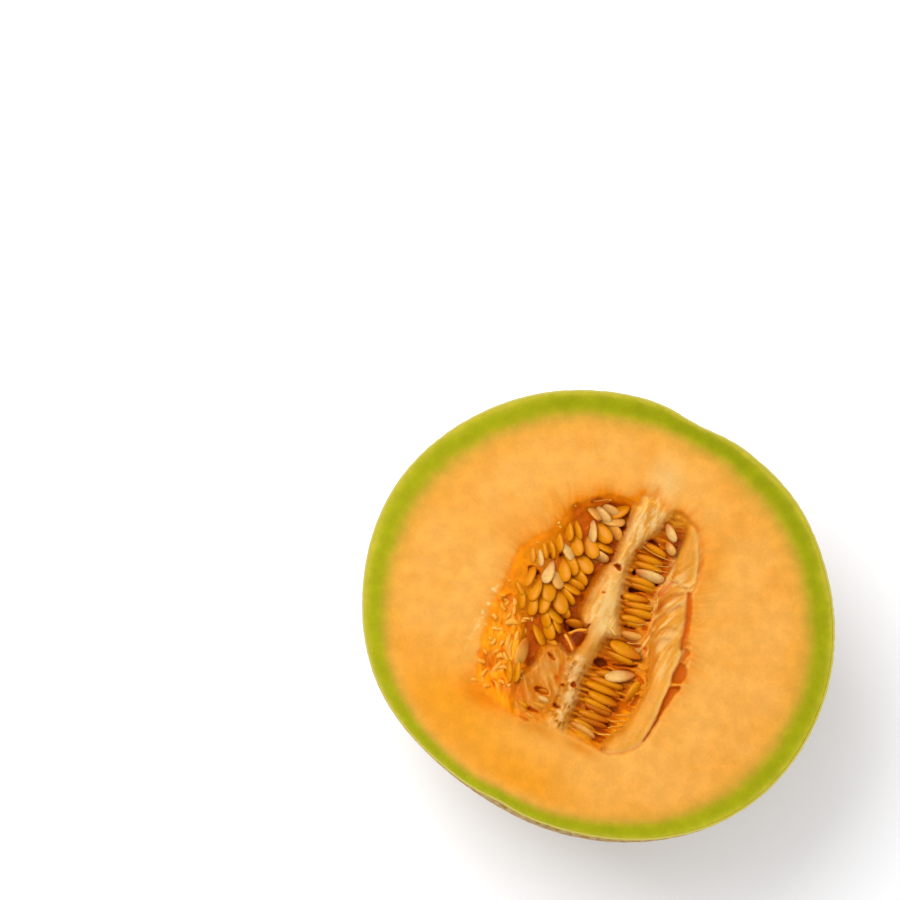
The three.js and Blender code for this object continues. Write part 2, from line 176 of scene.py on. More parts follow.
# Smaller pits: middle x and y, length, width, turn in degrees, depth, darkness of the shade painted in them
PITS = (
    (-0.3, -6, 0.9, 2, -10, 3, 0.6), (-1.2, 6.2, 1.5, 0.9, 30, 1.2, 0.4), (-19, 25, 7, 5, -60, 3.6, 0.12),
    (-16, 31.5, 5.5, 1.8, 35, 3.5, 0.3), (-23, 1.5, 5, 3, -25, 7, 0.55),
    (-17.6, 10.2, 3.4, 1.8, -10, 8, 0.85), (-20.5, 8.4, 2.6, 1.8, -30, 6, 0.5),
    (-13.4, 24.6, 1.6, 1.6, 0, 6, 0.5), (-7.6, 13.6, 2.4, 2.8, 0, 8, 0.5),
    (-6.3, 1.5, 1.8, 3.8, 8, 8, 0.6), (-6, 10.5, 1.6, 4.4, 0, 6.5, 0.3), (2.3, 23, 1.4, 1.8, 0, 3, 0.3),
    (4.6, 16.5, 1.7, 2, 0, 8, 0.8), (15.4, 2.1, 2.4, 2.2, 0, 5, 0.3), (15, 5, 3, 1.6, 25, 7, 0.4),
    (15, -4.1, 5, 1.3, 12, 7, 0.5), (18.7, -3.8, 1.5, 2.1, 20, 3.4, 0.3),
    (12.6, 21.5, 2.4, 3.8, 0, 6, 0.35), (4.3, -24.8, 2.4, 1.8, -15, 3, 0.45),
    (1.3, -26.3, 1.4, 1.6, 0, 4, 0.45), (2.3, -33.3, 2.8, 1.7, -5, 5, 0.5),
    (-4, -31.2, 5.4, 2.8, 12, 5, 0.4), (-3.6, -38, 5.8, 1.7, 3, 4.5, 0.45),
    (-5, -41.7, 4.6, 1.5, -5, 1.6, 0.2), (18.3, -32, 5, 2, 20, 8, 0.55), (14, -28.9, 9, 1, 5, 8, 0.4),
    (13, -33.6, 8, 1, 6, 8, 0.4), (21.5, -13.3, 4, 2.2, -30, 4, 0.3), (23.3, -20, 1.8, 6, -10, 4, 0.3),
    (20.8, -23.2, 4.4, 2, 10, 4.5, 0.3), (-12.2, -22.5, 2.6, 6, -15, 4.5, 0.35),
    (-17, -14.8, 3.8, 1.8, -45, 4.5, 0.45), (-6, -20, 4, 1.5, -25, 4.5, 0.4),
    (-15.8, -11.2, 2.6, 1.4, -40, 6, 0.5), (-26.5, -10, 3, 4, -40, 2.5, 0.2),
    (-1.3, -22, 2, 4, 0, 2.6, 0.2), (-1.3, -25.2, 3, 2, -20, 3, 0.3), (5, 7.6, 2.2, 1.4, -30, 5, 0.35),
    (-22.4, -7.4, 2, 1.2, 0, 6, 0.5), (-4.5, -9, 2, 2, 0, 12, 0.8),
)
# Grooves: chain of x, y and half width, then depth and darkness of the shade painted in them
GROOVES = (
    (((22.7, 18.5, 0.25), (23.6, 17, 0.4), (24.5, 15.2, 0.5), (25.4, 13, 0.5), (26.3, 10.6, 0.4),
      (27.2, 8.2, 0.5), (27.6, 6, 0.4), (28, 4, 0.3), (28.4, 2, 0.15)), 2.2, 0.35),
    (((16.2, 8.6, 0.5), (16.4, 11, 0.65), (17.2, 13.2, 0.55), (18.4, 15, 0.45), (19.8, 16.4, 0.3),
      (21.2, 17.4, 0.1)), 2.0, 0.16),
    (((18.1, 4.8, 0.4), (18.6, 7, 0.5), (19.3, 9.2, 0.35), (20.3, 11.2, 0.2), (22, 13.4, 0.05)), 2.0,
     0.14),
    (((19.3, 1.4, 0.45), (20.1, 3.1, 0.5), (21.2, 4.7, 0.35), (22.6, 5.8, 0.2), (24.6, 6.3, 0.05)), 1.6,
     0.12),
    (((20.6, -1.8, 0.5), (21, 0, 0.45), (22.2, 1.4, 0.2), (24.2, 2.4, 0.05)), 1.4, 0.1),
    (((15.3, 14, 0.4), (15.5, 16, 0.35), (16, 18, 0.35), (16.4, 19.6, 0.2)), 2.2, 0.25),
    (((21.2, -3.4, 0.6), (22.4, -6, 0.9), (23, -9, 0.7), (23.6, -12, 0.4)), 1.8, 0.12),
    (((32.1, -22, 0.35), (32.2, -25, 0.3), (31.9, -28, 0.25), (31.3, -31, 0.2), (29.8, -34, 0.15),
      (27, -37, 0.1), (23.6, -39, 0.1), (20, -39, 0.1), (17, -37.6, 0.1)), 1.2, 0.16),
    (((8.5, 40.8, 0.3), (12, 40, 0.4), (15.5, 38.2, 0.4), (18.8, 35, 0.4), (20.9, 31.5, 0.4),
      (22.4, 28, 0.3), (23.4, 24.6, 0.1)), 0.9, 0.12),
)

# Seeds on the left: tip x and y, width, turn of the tip, paleness
LEFT_SEEDS = (
    (-6.1, 34.6, 4.0, 50, 0.4), (-8.1, 31, 3.4, 10, 0.7), (-5.1, 29.2, 3.7, 15, 0.65),
    (-9.3, 27.2, 2.9, -15, 0.8), (-12.4, 26.1, 3.0, -30, 0.6), (-3.6, 24.3, 3.4, -18, 0.55),
    (-6.3, 21.5, 4.8, -22, 0.12), (-11.1, 18.8, 2.5, -58, 0.95), (-4.2, 18.9, 2.5, -5, 0.3),
    (-15, 17.6, 2.5, -42, 0.3), (-17.6, 15.8, 3.2, -48, 0.35), (-8, 14.9, 4.9, -35, 0.15),
    (-4.2, 16, 2.5, 0, 0.75), (-12.7, 13.4, 4.5, -35, 0.2), (-14.2, 10.5, 3.4, -40, 0.9),
    (-18.7, 11.4, 3.2, -45, 0.35), (-7.1, 10.1, 5.1, -20, 0.25), (-19.3, 8.8, 2.2, -38, 0.25),
    (-21.8, 6.8, 2.1, -50, 0.4), (-11.1, 7.1, 3.9, -35, 0.2), (-22, 4.2, 2.8, -45, 0.8),
    (-24.7, 3.9, 2.5, -50, 0.45), (-6.7, 5.9, 3.5, -15, 0.2), (-6.9, 4.4, 2.3, 4, 0.3),
    (-12.7, 3.7, 4.5, -45, 0.15), (-7.2, 1.9, 2.7, -10, 0.3), (-18.4, -0.1, 4.0, -74, 0.98),
    (-13.5, 0.5, 4.3, -50, 0.65), (-7.2, -1.5, 2.3, -20, 0.25), (-23.4, -3.9, 3.4, -80, 0.35),
    (-19.7, -7.2, 4.2, -78, 0.25), (-15.1, -5, 5.0, -68, 0.15), (-8.8, -6, 5.2, -45, 0.12),
    (-6.8, -6.2, 2.6, -22, 0.35), (-22.1, -7.1, 2.5, -42, 0.35), (-14.3, -8.8, 4.4, -60, 0.15),
    (-17, -10.7, 4.2, -50, 0.25), (-20.9, -10.7, 3.1, -50, 0.35), (-8.2, -9.3, 3.0, -25, 0.25),
    (-10.7, -11.9, 3.3, -33, 0.25), (-7.1, -12.2, 2.4, -48, 0.3), (-8.2, -14.9, 3.8, -38, 0.2),
    (-9.7, -18.4, 2.8, -43, 0.25), (-3.8, -19.4, 4.2, -32, 0.2), (-14.4, -27.9, 3.9, -83, 0.55),
    (-13.8, -34, 2.2, -58, 0.35), (-12.2, -32.7, 2.5, -64, 0.3),
)
# Seeds between the band and the fold: x of both ends, y at the middle, width, turn, paleness, depth
LADDER = (
    (2.6, 10.8, 26.3, 2.2, -3, 0.2, 3.0), (2, 11.2, 22.3, 2.4, 8, 0.3, 2.8),
    (2.4, 12, 20.2, 2.1, 9, 0.25, 3.0), (5, 13.8, 18, 2.9, 8, 0.92, 2.4),
    (3, 12.2, 15.1, 2.1, 10, 0.25, 3.2), (4, 13.2, 13.7, 2.1, 12, 0.2, 4.4),
    (4.6, 12.8, 9.6, 2.2, 15, 0.3, 3.0), (6.2, 15, 7.7, 2, 15, 0.35, 3.0),
    (7.2, 16.3, 5.6, 2.5, 13, 0.3, 2.8), (7.4, 16.2, 3.3, 2.1, 12, 0.3, 3.2),
    (7.8, 14.4, 1.8, 2, 10, 0.25, 4.2), (8.4, 17.2, -1.9, 2.3, 13, 0.6, 2.8),
    (8.4, 18.4, -6.9, 3.8, 0, 0.2, 2.6), (8, 17.2, -9.8, 2.1, 4, 0.25, 3.4),
    (11.8, 19.4, -15.1, 3.5, 30, 0.82, 2.4), (7.6, 15.6, -16.9, 2.6, 18, 0.15, 4.2),
    (7.6, 18, -19.1, 2.1, 10, 0.25, 3.4), (7.4, 18.4, -21.2, 2.6, 6, 0.25, 3.0),
    (9.6, 19, -24, 3, 3, 0.08, 2.8), (8.8, 18.6, -26.6, 2, 3, 0.15, 3.6),
    (8.8, 18.8, -28.1, 2, 4, 0.0, 4.2), (9.4, 19, -30.4, 2.3, 8, 0.08, 3.2),
    (9.8, 19.4, -32.4, 2, 10, 0.0, 3.8), (9, 16.8, -34.4, 2, 2, 0.1, 3.8),
    (7.8, 17.4, -35.8, 2.2, -2, 0.7, 2.8), (8.6, 17, -37.6, 2, -3, 0.25, 2.8),
    (9.6, 16.6, -39.2, 2, -4, 0.3, 2.0),
)
# Other seeds: middle x and y, length, width, turn, paleness, depth
ODD_SEEDS = (
    (8.8, 33.4, 6.4, 3.0, -38, 0.95, 1.4), (11, 28.8, 4.8, 2.8, -30, 0.7, 2.2),
    (21.2, -17.8, 7.8, 3.1, 82, 0.3, 1.6), (-2.6, -33.6, 5.4, 2.2, 4, 0.75, 3.0),
    (-3, -36, 6.4, 2.2, 6, 0.5, 3.2), (-3.6, -40.2, 6.4, 2, -4, 0.4, 2.2),
    (-2.6, -31, 6, 2.4, 10, 0.1, 4.6), (2.2, -35.2, 4.6, 2.2, 8, 0.35, 3.2),
    (-4.4, -7, 6, 3, 12, 0.05, 6.5), (-7.6, -37.8, 5, 2, -12, 0.3, 3.2),
)
SEED_LENGTH, SEED_WIDTH, SEED_THICK = 9.4, 5.0, 2.0
# Tilt of the left seeds in degrees, and of those low on the face; depth of the row of seeds below them
SEED_TILT, LOW_TILT, LOW_FROM, UNDER_SEED = 18, 8, -20, 1.9
# Gaps between the left seeds: tip of the seed that has none below it
GAPS = ((-18.7, 11.4), (-14.2, 10.5), (-19.3, 8.8), (-22, 4.2), (-24.7, 3.9), (-17.6, 15.8))

# Torn shreds of pulp, and small pale bits that are painted glints: middle x and y, length, width, turn,
# paleness
SHREDS_AND_GLINTS = (
    (-28, -17, 2.3, 1.3, 0, 0.8), (-25.9, -20.5, 2.2, 1, 25, 0.95), (-24.2, -19.9, 2.4, 0.9, 5, 0.85),
    (-22.3, -16.1, 3.6, 1.9, 30, 0.75), (-24.3, -24.8, 2.5, 1.3, 65, 0.8),
    (-20.3, -22.5, 4.8, 1.3, -72, 0.6), (-18.6, -20.1, 4.4, 1.3, -68, 0.6),
    (-21.8, -23.7, 2.5, 1.1, 80, 0.5), (-22.2, -26.8, 1.8, 1, 60, 0.45),
    (-20.5, -27.5, 2.3, 1.6, 30, 0.45), (-18.9, -26.9, 2.7, 1, -35, 0.9), (-18, -30.2, 2.6, 1.2, 25, 0.7),
    (-19.8, -31.4, 5, 1.3, 77, 0.5), (-25.3, -32, 3.2, 1.3, 15, 0.5), (-25.4, -28.4, 2.2, 1.1, -10, 0.45),
    (-22.5, -35, 3.2, 1, 82, 0.55), (-21.7, -36.9, 1.8, 0.9, -60, 0.5), (-16.4, -34.6, 2.3, 1, -10, 0.7),
    (-13.7, -34.7, 1.4, 0.9, 30, 0.7), (-16.6, -36.6, 4.2, 1.3, -48, 0.45),
    (-25.8, -24, 1.7, 0.9, -30, 0.45), (-24, -10.3, 2.6, 1.3, -78, 0.75),
    (-23.2, -12.4, 2.6, 1, -68, 0.6), (-26.9, -10.9, 2.6, 0.9, -10, 0.5),
    (-26.2, -11.6, 1.3, 0.7, 80, 0.8), (-19.4, -14.3, 2.2, 1, 50, 0.6), (-28.7, -10, 1.9, 0.6, 30, 0.6),
    (-12.4, -29, 1, 0.9, 0, 0.9), (-11.5, -30.7, 0.9, 0.6, 0, 0.6), (-17, -16.6, 1.6, 0.5, -60, 0.6),
    (-23.8, -14.8, 2.4, 1, 80, 0.45), (-27, -13.2, 2.8, 1.1, -35, 0.35),
    (-18.7, -24.8, 4.6, 1.5, -62, 0.45), (-16.9, -12.3, 1.4, 0.5, -65, 1.2),
    # From here on mostly small pale bits away from the pulp, painted glints; the palest bits above are
    # painted glints too
    (-23.7, 19.2, 1, 0.8, 0, 1.1), (-22.8, 18.4, 1.2, 0.7, -40, 0.7), (-26.6, 10.4, 0.7, 0.6, 0, 0.9),
    (-12.9, 33.6, 1.2, 0.7, 20, 0.8), (-21.7, 26.6, 0.8, 1.2, 80, 0.5), (17.3, -24.7, 2.2, 1.3, 50, 1.6),
    (-14, 24.1, 1.2, 0.8, 60, 0.3), (-29, -4.9, 1.2, 0.6, 20, 0.5), (-11.8, 4, 0.8, 0.4, 20, 0.9),
    (7.5, 28.2, 0.6, 0.5, 0, 0.9), (28.4, 12.2, 0.9, 0.7, 0, 0.8), (-14.1, -27, 1.2, 0.8, 40, 1.0),
    (-24.2, -38.2, 2.4, 1.2, 20, 0.25), (-20.2, -38.2, 2.4, 1.4, 60, 0.3),
)
# Strands: radius, paleness, depth, then points along it
STRANDS = (
    (0.9, 0.3, 1.2, (-6, -11.5), (-3.5, -13), (-0.8, -15.3)),
    (0.8, 0.2, 1.6, (-5, -11.2), (-3, -8.4), (0.4, -6.8)),
    (0.2, 0.65, 0.3, (30.5, -10.1), (32.2, -9.4), (34.4, -8.3)),
    (0.6, 0.85, 0.5, (2.5, -1), (6, -3.2), (9, -4.5)),
    (0.2, 0.75, 1.6, (14, 13.5), (15.2, 11.5), (16, 9)),
    (0.18, 0.75, 1.8, (12.4, 11), (14.2, 11), (15.6, 12.3)),
    (0.18, 0.7, 2.2, (12, 8.4), (13.6, 9.4), (15.2, 9.8)),
    (0.26, 0.35, 1.9, (2.2, 25.4), (6, 24.7), (10, 24.8), (13.3, 25.3)),
    (0.17, 0.7, 2, (8.6, 21.3), (11.5, 22.2), (13.8, 23.6)),
    (0.17, 0.7, 2.2, (9.5, 20.2), (12, 21), (14, 21.8)),
    (0.17, 0.7, 2.2, (12, 1.9), (13.6, 2.4), (15.4, 3.8)),
    (0.22, 0.75, 1.8, (12.4, -4.6), (14.5, -3.9), (17.4, -2)),
    (0.36, 0.65, 1.6, (17.6, -35.2), (20, -33.8), (22, -33.2)),
    (0.28, 0.4, 2.2, (19.4, -32), (21.5, -30.4), (23.8, -28.7)),
    (0.24, 0.35, 2.2, (19.2, -29.7), (22, -28), (24.2, -26.5)),
    (0.24, 0.35, 2.2, (19.6, -27.2), (22.5, -25.6), (24.4, -24.3)),
    (0.2, 0.5, 1.8, (-17.6, 30.2), (-15.2, 31.8), (-12.6, 33.9)),
    (0.45, 0.75, 1.4, (-20, -13.6), (-18.6, -12.7), (-17.2, -12.4)),
    (0.2, 0.7, 1.2, (0.4, -18.9), (2, -18.6), (3.6, -19.6)),
    (0.2, 0.6, 1.4, (0.6, -21), (2, -20), (3.8, -21.2)),
    (0.25, 0.5, 1, (14.4, 20.6), (16.5, 20.1), (19, 20.4)),
)
# Soft patches of colour: middle x and y, half size in x and y, colour, share
PATCHES = (
    (-28, -48, 26, 13, "F5A018", 0.85), (2, -59, 26, 9, "F5A018", 0.8), (-34, 13, 6, 8, "F0983A", 0.5),
    (25, 32, 4, 12, "EC9A28", 0.6), (28, 9, 3, 8, "EC9E34", 0.5), (0, 46, 5, 7, "FAD9A0", 0.45),
    (15, -41.6, 6, 1.8, "E08408", 0.75), (-12, 35, 4.4, 2.4, "E07808", 0.7),
    (-21, 27.5, 3, 5, "E87C08", 0.6), (-28.5, 9, 3, 3, "EA8408", 0.6), (30, 5, 1.4, 3, "F0B468", 0.7),
    (-29.5, -2, 2.4, 6, "F0A040", 0.4), (-18, -42, 9, 3.4, "F08400", 0.9),
    (0, -42.4, 8, 2.6, "DE8410", 0.7), (-23, -38, 5, 5, "F08400", 0.7),
)
# The same inside the cavity
DEEP_PATCHES = (
    (-23, -30, 4, 4, "D86000", 0.8), (-26, -17.6, 4, 3, "F08004", 0.6), (-12, -35.5, 5, 3, "E06A00", 0.8),
    (-18, -41, 12, 3.4, "F79808", 0.8), (-28, -22, 4, 9, "FBA414", 0.8),
    (-20.5, -17, 3, 6, "F89C0C", 0.6), (-24, -13, 4, 3, "E07408", 0.6), (-6, -24, 2.6, 4, "E09A48", 0.7),
    (-19, 25, 3.4, 4.4, "D85E00", 0.7), (-16, 31.4, 4, 1.6, "E06A00", 0.7),
    (10, 38.4, 5, 2.4, "F8A830", 0.9), (21, -12, 3, 8, "EC9420", 0.7),
    (2.4, -21, 1.6, 2.6, "F0C08A", 0.6), (5, -28.6, 1.5, 3, "F0C890", 0.6),
    # The dark patch at 16.6, 11 is painted shade in a groove between the fold's ribs
    (3, -3, 2.4, 3.6, "F6D49C", 0.5), (16.6, 11, 0.9, 2.4, "A04800", 0.75),
    (3, -12, 1.4, 2, "D07C18", 0.5), (1.6, 6, 2.6, 6, "F8C880", 0.6),
)


def rgb(text):
    """Scene-linear colour that a surface needs to show a six-digit sRGB code."""
    parts = [int(text[i : i + 2], 16) / 255 for i in (0, 2, 4)]
    parts = [c / 12.92 if c <= 0.04045 else ((c + 0.055) / 1.055) ** 2.4 for c in parts]
    return [part * share for part, share in zip(parts, OWN_COLOUR)]


def smooth(low, high, x):
    t = np.clip((x - low) / (high - low), 0, 1)
    return t * t * (3 - 2 * t)


def mix(a, b, t):
    return a + (b - a) * t


def noise(x, y, seed):
    """Smooth random field from -1 to 1 with features about one unit across."""
    rng = np.random.default_rng(seed)
    grid = rng.uniform(-1, 1, (256, 256))
    xi, yi = np.floor(x).astype(int), np.floor(y).astype(int)
    fx, fy = x - xi, y - yi
    fx, fy = fx * fx * (3 - 2 * fx), fy * fy * (3 - 2 * fy)
    a, b = grid[xi % 256, yi % 256], grid[(xi + 1) % 256, yi % 256]
    c, d = grid[xi % 256, (yi + 1) % 256], grid[(xi + 1) % 256, (yi + 1) % 256]
    return mix(mix(a, b, fx), mix(c, d, fx), fy)


def rough(x, y, seed, octaves=3):
    total = sum(noise(x * 2**k, y * 2**k, seed + k) / 2**k for k in range(octaves))
    return total / 1.4


def to_segment(x, y, x1, y1, x2, y2):
    """Distance from a segment, and how far along it the nearest point lies."""
    along = ((x - x1) * (x2 - x1) + (y - y1) * (y2 - y1)) / ((x2 - x1) ** 2 + (y2 - y1) ** 2)
    along = np.clip(along, 0, 1)
    return np.hypot(x - x1 - along * (x2 - x1), y - y1 - along * (y2 - y1)), along


def inside(outline, x, y):
    """Distance in from an outline, negative outside it."""
    points = np.array(outline, float)
    best = np.full(x.shape, 1e9)
    held = np.zeros(x.shape, bool)
    for (x1, y1), (x2, y2) in zip(points, np.roll(points, -1, 0)):
        best = np.minimum(best, to_segment(x, y, x1, y1, x2, y2)[0])
        if y1 != y2:
            held ^= ((y1 > y) != (y2 > y)) & (x < x1 + (y - y1) * (x2 - x1) / (y2 - y1))
    return np.where(held, best, -best)


def in_chain(chain, x, y):
    """Distance in from the side of a chain of discs, negative outside it."""
    best = np.full(x.shape, -1e9)
    for (x1, y1, r1), (x2, y2, r2) in zip(chain, chain[1:]):
        away, along = to_segment(x, y, x1, y1, x2, y2)
        best = np.maximum(best, mix(r1, r2, along) - away)
    return best


def bulge(angle, places=BULGES):
    total = 0 * angle
    for middle, out, spread in places:
        away = (np.degrees(angle) - middle + 540) % 360 - 180
        total = total + out * np.exp(-((away / spread) ** 2))
    return total


def rind_points(ways, sunk):
    """Points of the rind in unit directions from the middle of the face, sunk by a depth."""
    level = np.hypot(ways[:, 0], ways[:, 1])
    angle = np.arctan2(ways[:, 1], ways[:, 0])
    low = smooth(0, -0.12, ways[:, 2]) * smooth(-0.7, -0.3, ways[:, 2])
    grown = 1 + (bulge(angle) * level + bulge(angle, LOW_BULGES) * low) / HALF_WIDTH
    points = ways * np.stack([HALF_WIDTH * grown, HALF_LENGTH * grown, np.full(len(ways), DEPTH)], 1)
    dent = 0
    for end, depth, spread in SCARS:
        away = np.linalg.norm(ways - np.array([0, end, 0]), axis=1)
        dent = dent + depth * np.exp(-((away / spread) ** 2))
    size = np.linalg.norm(points, axis=1)
    points *= (1 - (sunk + dent) / size)[:, None]
    points[:, 2] += FACE_Z
    return points


def shell_level(level, levels, sunk):
    """Share of the edge's radius, and height, of a ring of an underside sunk below the skin."""
    turn = level * math.pi / 2 / levels
    height = max(FACE_Z - math.sin(turn) * (DEPTH - sunk), sunk + REST_SPOT_CUT)
    return math.cos(turn), height


def edge_radius(angle, sunk):
    """Radius of the face's outline at a compass angle."""
    grid = np.radians(np.arange(-180, 181, 1.0))
    ways = np.stack([np.cos(grid) / HALF_WIDTH, np.sin(grid) / HALF_LENGTH, 0 * grid], 1)
    ways /= np.linalg.norm(ways, axis=1)[:, None]
    points = rind_points(ways, np.full(len(ways), sunk))
    found = np.arctan2(points[:, 1], points[:, 0])
    found[0], found[-1] = -math.pi, math.pi
    return np.interp(angle, found, np.hypot(points[:, 0], points[:, 1]))


def dress(mesh, look):
    """An object of a mesh, smooth and in one material."""
    mesh.materials.append(look)
    mesh.shade_smooth()
    made = bpy.data.objects.new(mesh.name, mesh)
    bpy.context.scene.collection.objects.link(made)
    return made


def new_object(name, points, faces, look):
    mesh = bpy.data.meshes.new(name)
    mesh.from_pydata((np.asarray(points) * MM).tolist(), [], faces)
    mesh.update()
    return dress(mesh, look)


def store(made, name, values):
    """Values for each vertex: one number each, or a colour each."""
    values = np.asarray(values, float)
    if values.ndim == 1:
        field = made.data.attributes.new(name, "FLOAT", "POINT")
        field.data.foreach_set("value", values)
    else:
        field = made.data.attributes.new(name, "FLOAT_COLOR", "POINT")
        flat = np.concatenate([values, np.ones((len(values), 1))], 1)
        field.data.foreach_set("color", flat.ravel())


class Sock:
    """A shader socket with arithmetic."""

    def __init__(self, tree, socket):
        self.tree, self.socket = tree, socket

    def node(self, kind, values, out=0, **settings):
        made = self.tree.nodes.new(kind)
        for key, value in settings.items():
            setattr(made, key, value)
        for key, value in values.items():
            if isinstance(value, Sock):
                self.tree.links.new(value.socket, made.inputs[key])
            else:
                made.inputs[key].default_value = value
        return Sock(self.tree, made.outputs[out])

    def maths(self, operation, first, second):
        return self.node("ShaderNodeMath", {0: first, 1: second}, operation=operation)

    def __add__(self, other):
        return self.maths("ADD", self, other)

    def __radd__(self, other):
        return self.maths("ADD", other, self)

    def __mul__(self, other):
        return self.maths("MULTIPLY", self, other)

    def __rmul__(self, other):
        return self.maths("MULTIPLY", other, self)

    def ramp(self, low, high, to_low=0.0, to_high=1.0):
        values = {"Value": self, "From Min": low, "From Max": high, "To Min": to_low, "To Max": to_high}
        return self.node("ShaderNodeMapRange", values, interpolation_type="SMOOTHSTEP")

    def blend(self, first, second):
        """This number as the share of the second of two colours."""
        return self.node("ShaderNodeMix", {0: self, 6: first, 7: second}, out=2, data_type="RGBA")

    def noise(self, scale, detail):
        """Noise read at the place that this vector gives."""
        return self.node("ShaderNodeTexNoise", {"Vector": self, "Scale": scale, "Detail": detail})

    def bump(self, strength, distance):
        return self.node("ShaderNodeBump", {"Height": self, "Strength": strength, "Distance": distance})


def material(name, **fixed):
    """A Principled material, and its tree's starting socket and shader node."""
    made = bpy.data.materials.new(name)
    made.use_nodes = True
    tree = made.node_tree
    shader = next(n for n in tree.nodes if n.type == "BSDF_PRINCIPLED")
    for key, value in fixed.items():
        shader.inputs[key.replace("_", " ")].default_value = value
    return made, tree, shader


def link(tree, sock, shader, name):
    tree.links.new(sock.socket, shader.inputs[name])


def reader(tree, name, out):
    made = tree.nodes.new("ShaderNodeAttribute")
    made.attribute_name = name
    return Sock(tree, made.outputs[out])


def coordinates(tree):
    return Sock(tree, tree.nodes.new("ShaderNodeTexCoord").outputs["Object"])


def rgba(text):
    return (*rgb(text), 1.0)


# Materials


def soft_material(name, **fixed):
    """A material that light enters, its red farthest."""
    return material(name, Subsurface_Weight=0.4, Subsurface_Radius=(1.0, 0.5, 0.2), **fixed)


def flesh_material():
    made, tree, shader = soft_material(
        "flesh", Subsurface_Scale=0.003, Coat_Roughness=0.15, Specular_IOR_Level=0.15,
        Specular_Tint=(1, 0.6, 0.15, 1),
    )
    tint, wet, place = reader(tree, "tint", "Color"), reader(tree, "wet", "Fac"), coordinates(tree)
    mottled = place.noise(220, 5).ramp(0.35, 0.7, 0.93, 1.04)
    fine = place.noise(1500, 3).ramp(0.3, 0.7, 0.96, 1.03)
    both = mottled * fine
    grey = both.node("ShaderNodeCombineColor", {0: both, 1: both, 2: both})
    values = {0: 1.0, 6: tint, 7: grey}
    base = grey.node("ShaderNodeMix", values, out=2, data_type="RGBA", blend_type="MULTIPLY")
    link(tree, base, shader, "Base Color")
    link(tree, wet.ramp(0, 1, 0.5, 0.35), shader, "Roughness")
    link(tree, wet * 0.08, shader, "Coat Weight")
    link(tree, place.noise(900, 4).bump(0.12, 0.0004), shader, "Normal")
    return made


def seed_material():
    made, tree, shader = soft_material(
        "seed", Subsurface_Scale=0.002, Coat_Weight=0.12, Coat_Roughness=0.1, Roughness=0.35,
        Specular_IOR_Level=0.25, Specular_Tint=(1, 0.6, 0.15, 1),
    )
    pale, along, place = reader(tree, "pale", "Fac"), reader(tree, "along", "Fac"), coordinates(tree)
    base = pale.ramp(0.02, 0.14).blend(rgba("C26604"), rgba("E79304"))
    base = pale.ramp(0.35, 1.0).blend(base, rgba("F2CA88"))
    streak = place.noise(900, 3).ramp(0.35, 0.75)
    base = (streak * 0.3).blend(base, rgba("D47404"))
    # Painted shade at the root, where each seed lies under the one before it
    base = along.ramp(0.6, 0.05, 0.0, 0.7).blend(base, rgba("CC6000"))
    link(tree, base, shader, "Base Color")
    link(tree, place.noise(1400, 3).bump(0.1, 0.0003), shader, "Normal")
    return made


def pulp_material():
    made, tree, shader = soft_material(
        "pulp", Subsurface_Scale=0.002, Coat_Weight=0.12, Coat_Roughness=0.12, Roughness=0.3,
        Specular_IOR_Level=0.25, Specular_Tint=(1, 0.7, 0.3, 1),
    )
    link(tree, reader(tree, "pale", "Fac").blend(rgba("F8980A"), rgba("FFC868")), shader, "Base Color")
    return made


def rind_material():
    made, tree, shader = material(
        "rind", Subsurface_Weight=0.08, Subsurface_Scale=0.001, Specular_IOR_Level=0.35
    )
    net, place = reader(tree, "net", "Fac"), coordinates(tree)
    ground = place.noise(60, 4).ramp(0.35, 0.7).blend(rgba("C8960E"), rgba("B8930F"))
    cork = place.noise(700, 5).ramp(0.3, 0.72).blend(rgba("C79F62"), rgba("DDBB83"))
    edge = place.noise(1100, 4).ramp(0.3, 0.7, -0.12, 0.12)
    share = (net + edge).ramp(0.28, 0.5)
    base = share.blend(ground, cork)
    cut = reader(tree, "cut", "Fac")
    link(tree, cut.blend(base, rgba("C9BC4A")), shader, "Base Color")
    link(tree, share.ramp(0, 1, 0.42, 0.75), shader, "Roughness")
    link(tree, (share * place.noise(1600, 4)).bump(0.5, 0.0004), shader, "Normal")
    return made


# The rind


def cell_corners(middles):
    """Corners of the cells round middles on a sphere, and each middle with its corners in order."""
    work = bmesh.new()
    for point in middles:
        work.verts.new(point)
    bmesh.ops.convex_hull(work, input=work.verts)
    work.verts.index_update()
    work.normal_update()
    corners, around = [], {}
    for face in work.faces:
        normal = face.normal.normalized()
        if normal.dot(face.verts[0].co) < 0:
            normal = -normal
        for vert in face.verts:
            around.setdefault(vert.index, []).append(len(corners))
        corners.append(np.array(normal))
    kept = {v.index: np.array(v.co) for v in work.verts}
    work.free()
    cells = []
    for index, ids in around.items():
        middle = kept[index]
        side = np.cross((0, 0, 1), middle)
        side /= np.linalg.norm(side)
        up = np.cross(middle, side)
        ids.sort(key=lambda i: math.atan2(corners[i] @ up, corners[i] @ side))
        cells.append((middle, ids))
    return corners, cells


def sphere_cells():
    """Cells of the net, first strewn and then moved to the middle of their corners."""
    rng = np.random.default_rng(11)
    count = int(4 * math.pi * HALF_LENGTH * DEPTH / (CELL_PITCH**2 * 0.866))
    index = np.arange(count)
    z = 1 - (2 * index + 1) / count
    ring, turn = np.sqrt(1 - z * z), math.pi * (3 - math.sqrt(5)) * index
    middles = np.stack([ring * np.cos(turn), ring * np.sin(turn), z], 1)
    middles += rng.uniform(-0.5, 0.5, middles.shape) * math.sqrt(4 * math.pi / count) * CELL_SHIFT
    middles /= np.linalg.norm(middles, axis=1)[:, None]
    corners, cells = cell_corners(middles)
    middles = np.array([np.mean([corners[i] for i in ids], axis=0) for _, ids in cells])
    middles /= np.linalg.norm(middles, axis=1)[:, None]
    return cell_corners(middles)


